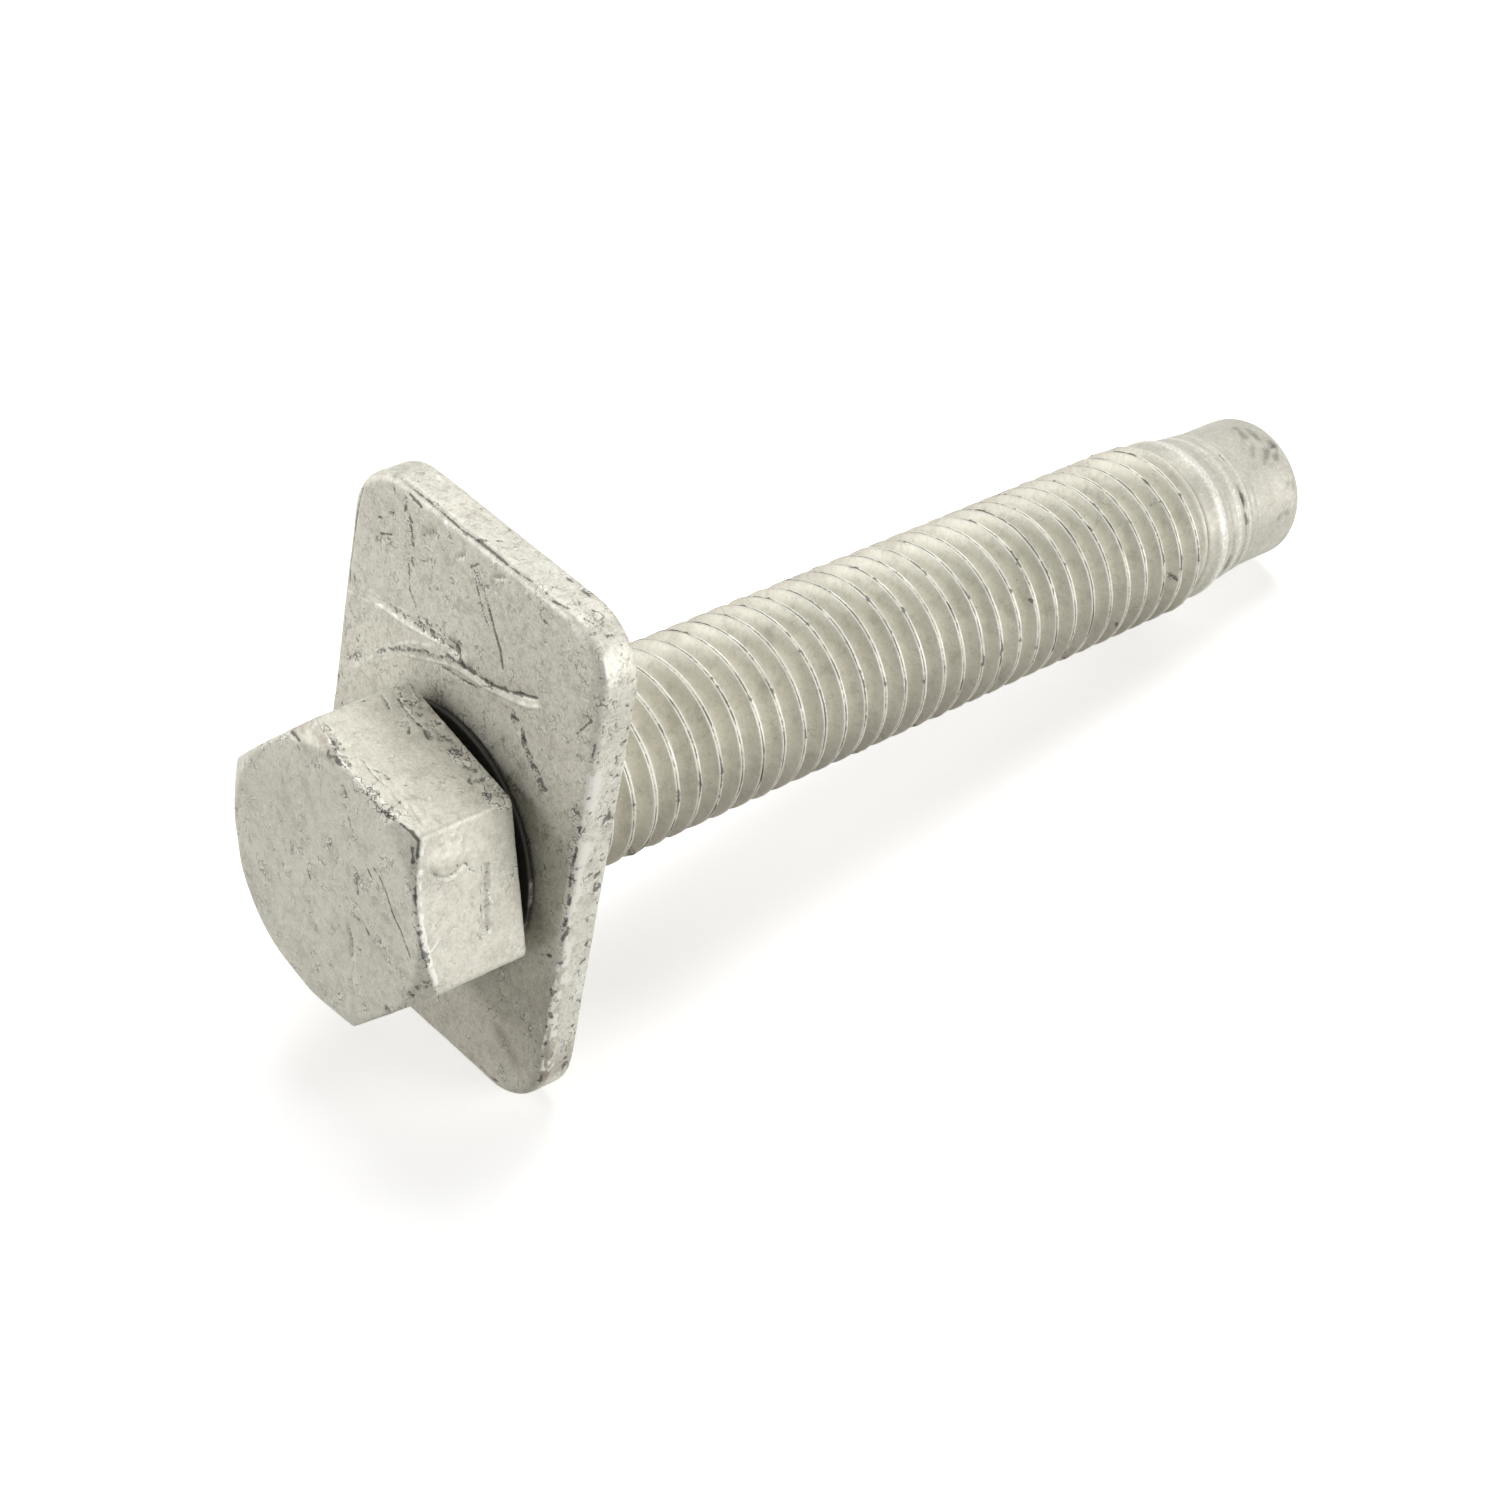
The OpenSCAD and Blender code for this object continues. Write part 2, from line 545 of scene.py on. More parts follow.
class MarkKind(Enum):
    """The kinds of mark on the bolt and its plate."""

    HAIR = Stroke(0.1, lift=-0.04, grime_and_shade=0.75, ragged=0.35)
    FLECK = Stroke(0.13, lift=-0.02, grime_and_shade=0.72, ragged=0.7)
    GASH = Stroke(0.14, lift=-0.06, grime_and_shade=0.9, ragged=0.25)
    PIT = Stroke(0.16, lift=-0.06, grime_and_shade=0.85, ragged=0.3)
    DUSK = Stroke(0.3, lift=-0.03, grime_and_shade=0.52, busy=1.0, ragged=1.0)
    SOFT = Stroke(0.17, lift=-0.1, grime_and_shade=0.42, ragged=0.1)
    SEAM = Stroke(0.1, lift=0.06, worn_and_highlight=0.7, ragged=0.55)
    RUCK = Stroke(0.26, lift=0.03, grime_and_shade=0.64, busy=1.0, ragged=0.6)
    GLINT = Stroke(0.13, lift=0.03, worn_and_highlight=0.75, ragged=0.75)
    SHEEN = Stroke(0.5, worn_and_highlight=0.33, ragged=1.0)
    SCUFF = Stroke(0.42, lift=-0.03, grime_and_shade=0.42, stain_and_shade=0.35, ragged=0.3)
    DENT = Stroke(0.4, lift=-0.09)
    SWELL = Stroke(1.1, lift=0.12)
    # Painted shade, carried in the stain layer.
    SHADE = Stroke(0.9, stain_and_shade=0.52)
    SMEAR = Stroke(0.9, stain_and_shade=0.25, ragged=0.0)
    BLOT = Stroke(0.45, lift=-0.02, grime_and_shade=0.2, stain_and_shade=0.6, ragged=0.8)


# For each kind of mark, the paths that it follows, by a surface's two measures in mm or degrees.
Marks = dict[MarkKind, tuple[tuple[Point, ...], ...]]


class Skin:
    """The surface of a finished mesh, and the wear and the painted light and shade that are worked
    into it.
    """

    # Size in mm of the noise that makes strokes wander and breaks them up.
    STROKE_GRAIN = 0.45
    # How far the noise has to be above a spot's level for the spot to be full.
    SPOT_FADE = 0.1

    def __init__(self, piece: bpy.types.Object, seed: int) -> None:
        """Reads the mesh.

        Args:
            piece: the piece, still on the bench.
            seed: seed of its noise and of its scattered scratches.
        """
        self.piece = piece
        self.noise = Lattice(seed)
        self.rng = np.random.default_rng(seed)
        mesh = piece.data
        self.points = self._read(mesh.vertices, "co", 3)
        self.normals = self._read(mesh.vertices, "normal", 3)
        self.edges = self._read(mesh.edges, "vertices", 2).astype(int)
        self.degree = np.bincount(self.edges.ravel(), minlength=len(self.points))
        blank = np.zeros((6, len(self.points)))
        self.lift, self.worn_and_highlight, self.grime_and_shade, self.stain_and_shade, self.busy, self.rim = blank

    @staticmethod
    def _read(items: Any, name: str, width: int) -> np.ndarray:
        """Reads one property of all items of a mesh.

        Args:
            items: the mesh's vertices or edges.
            name: the property.
            width: how many numbers it has.

        Returns:
            One row an item.
        """
        values = np.zeros(len(items) * width, np.int32 if name == "vertices" else np.float32)
        items.foreach_get(name, values)
        return values.reshape(-1, width).astype(float)

    def spread(self, values: np.ndarray, rounds: int) -> np.ndarray:
        """Spreads values over the mesh, each round to the next vertices.

        Args:
            values: one value a vertex.
            rounds: number of rounds.

        Returns:
            The spread values.
        """
        first, second = self.edges.T
        for _ in range(rounds):
            total = np.bincount(first, values[second], len(values))
            total += np.bincount(second, values[first], len(values))
            values = 0.5 * values + 0.5 * total / self.degree
        return values

    def sharpness(self) -> np.ndarray:
        """Tells how far each vertex stands out: about 0 on flats, and more on outer edges."""
        around = np.stack([self.spread(self.points[:, i], 2) for i in range(3)], axis=1)
        return np.einsum("ij,ij->i", self.points - around, self.normals)

    def patches(
        self, grain: float, low: float, high: float, octaves: int = 2,
        shift: float | np.ndarray = 0.0,
    ) -> np.ndarray:
        """Gives patches of noise: 0 where it is below low, and 1 where it is above high."""
        return smooth_step(self.noise.at(self.points + shift, grain, octaves), low, high)

    def find_edges(self, full: float, reach: int) -> None:
        """Finds the outer edges, and notes that there is more wear near them.

        Args:
            full: sharpness, in mm, that counts as an edge.
            reach: rounds over which the nearness falls off.
        """
        sharp = smooth_step(self.sharpness(), 0.15 * full, full)
        self.rim = self.spread(sharp, 1)
        self.busy += np.clip(3.0 * self.spread(sharp, reach), 0.0, 1.0)

    def uneven(self, grain: float, height: float) -> None:
        """Raises and lowers the surface by up to a height, in lumps of the grain's size."""
        self.lift += height * (2 * self.noise.at(self.points, grain, 2) - 1)

    def wear_edges(self, bright: float, dark: float, chip: float) -> None:
        """Rubs the outer edges bright, with dark chips along them.

        Args:
            bright: strength of the bright wear.
            dark: strength of the dark chips.
            chip: depth of the chips.
        """
        self.worn_and_highlight += bright * self.rim * self.patches(grain=0.9, low=0.35, high=0.6, octaves=3)
        self.speckle(self.rim, grain=0.6, level=0.55, tone=dark, depth=chip)
        near = np.clip(self.busy, 0.0, 1.0)
        self.speckle(near, grain=0.5, level=0.66, tone=0.7 * dark, depth=chip)

    def speckle(
        self, where: np.ndarray, grain: float, level: float, tone: float, depth: float
    ) -> None:
        """Pits part of the surface with small dark spots.

        Args:
            where: share of each vertex in that part.
            grain: size of the spots, in mm.
            level: noise value above which there is a spot. A higher one gives fewer spots.
            tone: how dark they are.
            depth: how deep they are.
        """
        shift = self.rng.uniform(0.0, 40.0, 3)
        pits = where * self.patches(grain, level, level + self.SPOT_FADE, shift=shift)
        self.grime_and_shade += tone * pits
        self.lift -= depth * pits

    def distance(self, path: np.ndarray, reach: float) -> tuple[np.ndarray, np.ndarray]:
        """Measures how far the vertices near a path are from it.

        Args:
            path: the path's points, in mm.
            reach: how far away a vertex may be.

        Returns:
            The numbers of the near vertices, and their distances.
        """
        low, high = path.min(0) - reach, path.max(0) + reach
        near = np.flatnonzero(np.all((self.points > low) & (self.points < high), axis=1))
        places = self.points[near]
        best = np.full(len(near), np.inf)
        for here, there in zip(path, path[1:]):
            run = there - here
            share = np.clip((places - here) @ run / max(run @ run, 1e-9), 0.0, 1.0)
            gap = places - here - share[:, None] * run
            best = np.minimum(best, np.sqrt(np.einsum("ij,ij->i", gap, gap)))
        return near, best

    def strike(self, stroke: Stroke, path: np.ndarray, share: float = 1.0) -> None:
        """Works one stroke into the surface.

        Args:
            stroke: what the stroke does.
            path: its points in the drawing, in mm.
            share: how strong and wide it is.
        """
        width = stroke.width * share
        near, gap = self.distance(path, 2.5 * width + 0.3)
        places = self.points[near]
        wander = 2 * self.noise.at(places, self.STROKE_GRAIN, 2) - 1
        gap = np.abs(gap + stroke.ragged * width * wander)
        broken = smooth_step(self.noise.at(places + 11.0, self.STROKE_GRAIN, 2), 0.25, 0.65)
        strength = share * (1 - stroke.ragged + stroke.ragged * broken)
        # Bright wear and painted highlight, and grime and painted shade, fill the core. The lift,
        # the stain and painted shade, and the busy wear fade out.
        core = strength * smooth_step(gap, 1.2 * width, 0.2 * width)
        self.lift[near] += share * stroke.lift * smooth_step(gap, 1.4 * width, 0.0)
        self.worn_and_highlight[near] += stroke.worn_and_highlight * core
        self.grime_and_shade[near] += stroke.grime_and_shade * core
        self.stain_and_shade[near] += stroke.stain_and_shade * smooth_step(gap, width, 0.0)
        self.busy[near] += stroke.busy * smooth_step(gap, 1.5 * width, 0.0)

    def mark(self, surface: Surface, marks: Marks, share: float = 1.0) -> None:
        """Works marks into one surface.

        Args:
            surface: the surface that the marks' measures are on.
            marks: the paths of each kind of mark.
            share: how strong and wide they are.
        """
        for kind, paths in marks.items():
            for path in paths:
                points = [surface.point(*p) for p in path]
                points = points if len(points) > 1 else points * 2
                self.strike(kind.value, np.array(points, float), share)

    def roughen(
        self, surface: Surface, path: tuple[Point, ...], width: float, depth: float
    ) -> None:
        """Tears up a band of the surface, as a die does where metal is sheared.

        Args:
            surface: the surface that the path is on.
            path: the band's middle line.
            width: half the band's width.
            depth: greatest lift either way.
        """
        near, gap = self.distance(np.array([surface.point(*p) for p in path], float), width * 1.5)
        places = self.points[near]
        band = smooth_step(gap + 0.8 * (self.noise.at(places, 1.2, 2) - 0.5), width, 0.5 * width)
        fine = self.noise.at(places + 3.0, 0.42, 2)
        self.lift[near] += depth * band * (2 * fine - 1)
        self.worn_and_highlight[near] += 0.25 * band * smooth_step(fine, 0.5, 0.7)
        self.grime_and_shade[near] += 0.45 * band * smooth_step(fine, 0.5, 0.3)
        self.busy[near] += 0.7 * band

    def scatter(self, count: int, length: float, kinds: tuple[MarkKind, ...]) -> None:
        """Scatters short scratches over the whole surface.

        Args:
            count: number of scratches.
            length: greatest length.
            kinds: kinds that they are drawn from.
        """
        for place in self.rng.integers(0, len(self.points), count):
            normal = self.normals[place]
            run = np.cross(normal, self.rng.normal(size=3))
            run *= length * self.rng.uniform(0.1, 1.0) / max(np.linalg.norm(run), 1e-6)
            bow = np.cross(normal, run) * self.rng.uniform(-0.2, 0.2)
            start, kind = self.points[place], kinds[self.rng.integers(len(kinds))]
            path = np.array([start, start + run / 2 + bow, start + run])
            self.strike(kind.value, path, self.rng.uniform(0.3, 0.9))

    def finish(self) -> None:
        """Writes the lift into the mesh and stores the wear and the painted light and shade for the
        material.
        """
        mesh = self.piece.data
        moved = self.points + self.lift[:, None] * self.normals
        mesh.vertices.foreach_set("co", moved.astype(np.float32).ravel())
        for name in WEAR:
            values = np.clip(getattr(self, name), 0.0, 1.0)
            attribute = mesh.attributes.new(name, "FLOAT", "POINT")
            attribute.data.foreach_set("value", values.astype(np.float32))
        mesh.update()


@dataclass(frozen=True)
class Grain:
    """Fine noise in a material: size of its lumps in mm, its finer layers and their strength."""

    size: float
    detail: float
    rough: float = 0.6


@dataclass(frozen=True)
class ZincFlake:
    """Zinc flake coating: dip-spun flakes in a baked binder, matt and faintly metallic.

    Attributes:
        name: the material's name.
        light: colour where the coat is thick and clean.
        middle: the usual colour.
        dull: colour of the thin, handled patches.
        grime_and_shade: colour of dirt and bare dark steel in scratches, and of painted shade.
        worn_and_highlight: colour where the flakes are rubbed bright, and of painted highlights.
        stain_and_shade: brownish colour of old oil, and of painted shade.
        metallic: share of the flakes' metal look.
        roughness: how matt the coat is, from 0 for a mirror to 1.
        mottle: strength of the fine mottling.
        speckle: how many more dark pits there are than the least, from 0 to about 1.
        curls: how dark and bright the painted shade and highlight lines of fine winding relief are.
        bump: depth of the grain, in mm.
        grains: noise of each size. The flakes themselves are about 0.02 mm and are drawn coarser,
            as the 0.16 mm grain, so that they show.
    """

    name: str
    light: str = "#DDDACD"
    middle: str = "#D1CEC1"
    dull: str = "#A8A496"
    grime_and_shade: str = "#3E3B36"
    worn_and_highlight: str = "#F0EEE5"
    stain_and_shade: str = "#8C8070"
    metallic: float = 0.3
    roughness: float = 0.55
    mottle: float = 0.42
    speckle: float = 0.5
    curls: float = 0.5
    bump: float = 0.012
    grains: tuple[tuple[str, Grain], ...] = (
        ("cloud", Grain(6.0, 2.0)),
        ("patch", Grain(1.6, 4.0, 0.65)),
        ("mottle", Grain(0.5, 3.0)),
        ("flake", Grain(0.16, 2.0)),
        ("torn", Grain(0.2, 2.0)),
        ("pit", Grain(0.36, 2.0)),
        ("curl", Grain(0.75, 3.0, 0.55)),
        ("part", Grain(1.4, 2.0)),
    )

    def make(self) -> bpy.types.Material:
        """Builds the material.

        Returns:
            The material, which reads what the piece's mesh tells of its wear and of its painted
            light and shade.
        """
        material = bpy.data.materials.new(self.name)
        tree = empty_tree(material)
        place = add_node(tree, "ShaderNodeTexCoord").outputs["Object"]
        noise = {
            name: add_node(
                tree, "ShaderNodeTexNoise", None,
                {"Vector": place, "Scale": 1 / (grain.size * MM), "Detail": grain.detail,
                 "Roughness": grain.rough},
            ).outputs["Fac"]
            for name, grain in self.grains
        }
        wear = {
            name: add_node(tree, "ShaderNodeAttribute", {"attribute_name": name}).outputs["Fac"]
            for name in WEAR
        }
        # Each sum is a value times a factor, plus a start.
        pit_level = 0.76 - 0.06 * self.speckle
        sums = {
            name: add_node(
                tree, "ShaderNodeMath", {"operation": "MULTIPLY_ADD"},
                {0: value, 1: factor, 2: start},
            ).outputs[0]
            for name, value, factor, start in (
                # Fine noise tears the borders of the bright and the dark layers, each where the
                # other isn't.
                ("worn_and_highlight", noise["torn"], 0.9, wear["worn_and_highlight"]),
                ("grime_and_shade", noise["torn"], -0.9, wear["grime_and_shade"]),
                # Pits start at a lower noise value, and so are more, in busy places.
                ("pit_start", wear["busy"], -0.07, pit_level),
                ("pit_full", wear["busy"], -0.07, pit_level + 0.05),
                # Curls are painted shade and highlight lines that stand in for fine winding relief.
                # They lie in parts of the surface. Where it is busy, more of them show, and
                # they are darker and wider.
                ("curl_part", wear["busy"], 0.14, noise["part"]),
                ("curl_tone", wear["busy"], 0.4, self.curls - 0.1),
                ("curl_width", wear["busy"], 0.012, 0.018),
            )
        }
        curled = add_node(
            tree, "ShaderNodeMapRange", {"interpolation_type": "SMOOTHSTEP"},
            {"Value": sums["curl_part"], "From Min": 0.52, "From Max": 0.7,
             "To Max": sums["curl_tone"]},
        ).outputs["Result"]
        # They are the lines along which the noise has one value: a painted shade line, and just
        # beside it a painted highlight line, as on a fine ridge lit from one side.
        painted_shade_line, painted_highlight_line = (
            add_node(
                tree, "ShaderNodeMath", {"operation": "COMPARE"},
                {0: noise["curl"], 1: level, 2: sums["curl_width"]},
            ).outputs[0]
            for level in (0.5, 0.55)
        )

        base = add_node(tree, "ShaderNodeRGB")
        base.outputs[0].default_value = linear(self.middle)
        base = base.outputs[0]
        # Each layer: what it follows, the values it fades in between, how far it covers, colour.
        for value, low, high, cover, colour in (
            (noise["cloud"], 0.35, 0.65, 0.8, self.light),
            (noise["patch"], 0.48, 0.7, 0.4, self.dull),
            (noise["mottle"], 0.5, 0.7, self.mottle, self.dull),
            (noise["mottle"], 0.48, 0.3, self.mottle, self.worn_and_highlight),
            (noise["flake"], 0.5, 0.72, self.mottle, self.dull),
            (noise["flake"], 0.5, 0.28, self.mottle, self.worn_and_highlight),
            (wear["stain_and_shade"], 0.0, 1.0, 1.0, self.stain_and_shade),
            (wear["worn_and_highlight"], 0.0, 0.6, 0.4, self.worn_and_highlight),
            (wear["grime_and_shade"], 0.0, 0.8, 0.25, self.grime_and_shade),
            (painted_shade_line, 0.0, 1.0, curled, self.grime_and_shade),
            (painted_highlight_line, 0.0, 1.0, curled, self.worn_and_highlight),
            (noise["pit"], sums["pit_start"], sums["pit_full"], 0.65, self.grime_and_shade),
            (sums["worn_and_highlight"], 0.72, 0.95, 0.9, self.worn_and_highlight),
            (sums["grime_and_shade"], -0.12, 0.12, 0.7, self.grime_and_shade),
            # The thickest layer paints the collar's recess near black, as painted shade.
            (wear["grime_and_shade"], 0.92, 1.0, 0.9, self.grime_and_shade),
        ):
            layer = add_node(
                tree, "ShaderNodeMapRange", {"interpolation_type": "SMOOTHSTEP"},
                {"Value": value, "From Min": low, "From Max": high, "To Max": cover},
            ).outputs["Result"]
            base = add_node(
                tree, "ShaderNodeMix", {"data_type": "RGBA"},
                {0: layer, MIX_A: base, MIX_B: linear(colour)},
            ).outputs[MIX_RESULT]

        pitted = add_node(
            tree, "ShaderNodeMath", {"operation": "GREATER_THAN"},
            {0: noise["pit"], 1: sums["pit_full"]},
        ).outputs[0]
        height = add_node(
            tree, "ShaderNodeMath", {"operation": "MULTIPLY_ADD"},
            {0: pitted, 1: -0.6, 2: noise["flake"]},
        ).outputs[0]
        bump = add_node(
            tree, "ShaderNodeBump", None,
            {"Strength": 1.0, "Distance": self.bump * MM, "Height": height},
        )
        gloss = add_node(
            tree, "ShaderNodeMapRange", None,
            {"Value": wear["worn_and_highlight"], "From Min": 0.2, "From Max": 0.9,
             "To Min": self.roughness, "To Max": self.roughness - 0.15},
        ).outputs["Result"]
        shader = add_node(
            tree, "ShaderNodeBsdfPrincipled", None,
            {"Base Color": base, "Metallic": self.metallic, "Roughness": gloss,
             "Normal": bump.outputs["Normal"]},
        )
        add_node(tree, "ShaderNodeOutputMaterial", None, {"Surface": shader.outputs["BSDF"]})
        return material

    def dress(self, piece: bpy.types.Object) -> None:
        """Gives the finish to a piece."""
        piece.data.materials.clear()
        piece.data.materials.append(self.make())


@dataclass(frozen=True)
class Paper:
    """Pale seamless paper: matt and even. It throws less light back than the camera sees.

    Attributes:
        colour: its colour to the camera and in reflections.
        bounce: its colour to the light that it throws back.
        lift: how far it is lifted towards white where it is seen.
    """

    colour: str = "#F4F3F1"
    bounce: str = "#A9A7A2"
    lift: float = 0.55

    def make(self) -> bpy.types.Material:
        """Builds the material.

        Returns:
            The material.
        """
        material = bpy.data.materials.new("seamless_paper")
        tree = empty_tree(material)
        seen = Studio.seen(tree)
        colour = add_node(
            tree, "ShaderNodeMix", {"data_type": "RGBA"},
            {0: seen, MIX_A: linear(self.bounce), MIX_B: linear(self.colour)},
        ).outputs[MIX_RESULT]
        grain = add_node(
            tree, "ShaderNodeTexNoise", None, {"Scale": 1 / (2.0 * MM), "Detail": 2.0}
        ).outputs["Fac"]
        bump = add_node(
            tree, "ShaderNodeBump", None, {"Strength": 0.1, "Distance": 0.02 * MM, "Height": grain}
        )
        glow = add_node(
            tree, "ShaderNodeMath", {"operation": "MULTIPLY"}, {0: seen, 1: self.lift}
        ).outputs[0]
        shader = add_node(
            tree, "ShaderNodeBsdfPrincipled", None,
            {"Base Color": colour, "Roughness": 0.9, "Specular IOR Level": 0.0,
             "Emission Color": linear(WHITE), "Emission Strength": glow,
             "Normal": bump.outputs["Normal"]},
        )
        add_node(tree, "ShaderNodeOutputMaterial", None, {"Surface": shader.outputs["BSDF"]})
        return material


class Piece(ABC):
    """A piece that is shaped on the bench, aged, laid down and coated."""

    @abstractmethod
    def shape(self) -> bpy.types.Object:
        """Makes the bare piece on the bench."""

    @abstractmethod
    def age(self, piece: bpy.types.Object) -> None:
        """Works the piece's wear, and any painted light and shade, into its mesh."""

    def additions(self) -> list[bpy.types.Object]:
        """Makes what is joined to the aged piece: nothing, unless the piece says otherwise."""
        return []

    def build(self, pose: RestPose, finish: ZincFlake) -> bpy.types.Object:
        """Makes the finished piece.

        Args:
            pose: the bolt's rest pose.
            finish: the piece's coating.

        Returns:
            The piece, in the frame.
        """
        piece = self.shape()
        self.age(piece)
        for addition in self.additions():
            Bench.join(piece, addition)
        Bench.lay_down(piece, pose)
        finish.dress(piece)
        return piece


# Marks on the hexagon's upper side, by Z and across.
HEXAGON_TOP_MARKS: Marks = {
    MarkKind.GASH: (
        ((-3.3, -4.6), (-3.3, -4.1), (-3.5, -3.6)), ((-2.6, -2.0), (-2.6, -1.5), (-2.8, -0.8)),
    ),
    MarkKind.HAIR: (
        ((-2.6, -4.3), (-2.6, -3.7), (-2.7, -3.1), (-2.7, -1.9)), ((-6.1, 4.2), (-5.9, 4.5)),
        ((-7.2, -1.2), (-7.3, -0.4), (-7.3, 0.3), (-7.1, 1.1)),
    ),
    MarkKind.FLECK: (
        ((-5.1, -4.8), (-4.2, -4.7)), ((-7.1, -0.3), (-6.8, 0.1), (-6.6, 0.7), (-7.0, 0.5)),
        ((-2.7, 0.1), (-2.6, 0.3)), ((-2.6, 1.0), (-2.3, 1.3)), ((-3.1, 2.4), (-2.9, 2.7)),
    ),
    MarkKind.SOFT: (
        ((-7.1, 1.7), (-7.1, 2.3), (-7.1, 2.8)), ((-6.6, 2.3), (-6.0, 2.4), (-5.6, 2.8)),
        ((-6.7, 2.8), (-6.9, 4.1)),
    ),
    MarkKind.SHEEN: (
        ((-2.2, -2.9), (-2.2, 0.3), (-2.0, 2.4), (-1.4, 3.4), (-1.5, 5.0)),
    ),
}

# Marks on the hexagon's right-hand side, by Z and across.
HEXAGON_RIGHT_MARKS: Marks = {
    MarkKind.SWELL: (
        ((-6.3, -2.9), (-5.7, -3.0)),
    ),
    # The crescent under the swelling is a soft groove with painted shade along it.
    MarkKind.SOFT: (
        ((-7.2, -2.6), (-6.7, -2.1), (-6.1, -1.9), (-5.5, -2.0), (-4.9, -2.3)),
    ),
    MarkKind.SCUFF: (
        ((-3.3, -1.6), (-3.6, 0.3), (-3.7, 2.2)),
    ),
}

# Marks on the crown and its chamfer, to the left and up.
CROWN_MARKS: Marks = {
    MarkKind.GASH: (
        ((-5.2, 7.6), (-5.8, 7.5), (-6.5, 7.2), (-6.8, 6.4)), ((4.4, 7.6), (4.0, 7.7), (3.4, 7.7)),
    ),
    MarkKind.DENT: (
        ((-3.2, 8.0), (-3.9, 7.7), (-4.3, 7.6)),
    ),
    MarkKind.DUSK: (
        ((-2.9, 8.1), (-3.5, 7.8), (-4.3, 7.6)),
        ((-6.9, 6.2), (-7.2, 5.1), (-7.6, 3.9), (-8.0, 2.8), (-8.4, 1.6), (-8.9, 0.2)),
        ((0.9, 8.5), (-0.3, 8.5)), ((-0.8, 7.3), (-1.0, 6.0), (-1.9, 4.9)),
        ((-2.5, 2.4), (-2.9, 1.2)), ((0.0, 2.9), (-0.4, 2.0)), ((-9.0, -1.1), (-8.5, -2.0)),
        ((-8.1, -2.5), (-9.2, -2.3)), ((-7.8, -4.0), (-6.5, -4.9)),
    ),
    MarkKind.HAIR: (
        ((-4.0, 3.7), (-4.5, 3.5), (-5.1, 3.0), (-6.1, 1.7)),
        ((-6.1, 1.7), (-6.8, 1.2), (-7.9, 0.0)),
    ),
    MarkKind.FLECK: (
        ((-4.2, 7.6), (-5.0, 7.7)), ((-6.3, 6.9), (-6.7, 6.0)), ((-7.4, 4.7), (-7.6, 4.0)),
        ((-2.9, -0.6), (-3.7, -0.5), (-4.3, -0.9)), ((0.0, 6.4), (-0.2, 6.4)),
        ((-3.5, 3.3), (-3.9, 3.0)), ((1.5, -0.4), (1.2, -0.8)),
    ),
    MarkKind.SOFT: (
        ((-2.4, -1.6), (-2.9, -2.4), (-3.1, -3.5)),
    ),
    # Painted shade on the chamfer at the upper left.
    MarkKind.SHADE: (
        ((4.2, 8.2), (2.9, 8.75), (1.2, 8.8), (0.2, 8.6)),
    ),
    MarkKind.SHEEN: (
        ((5.4, 5.7), (4.1, 7.0), (2.8, 8.3)), ((3.4, 9.0), (2.3, 8.8)),
    ),
    MarkKind.SMEAR: (
        ((5.2, -2.6), (4.5, -3.2)), ((2.9, -4.4), (1.8, -4.2)), ((2.6, 5.5), (1.6, 3.8)),
        ((6.7, -3.4), (5.8, -5.8)), ((4.4, 7.6), (2.9, 7.8)),
    ),
}


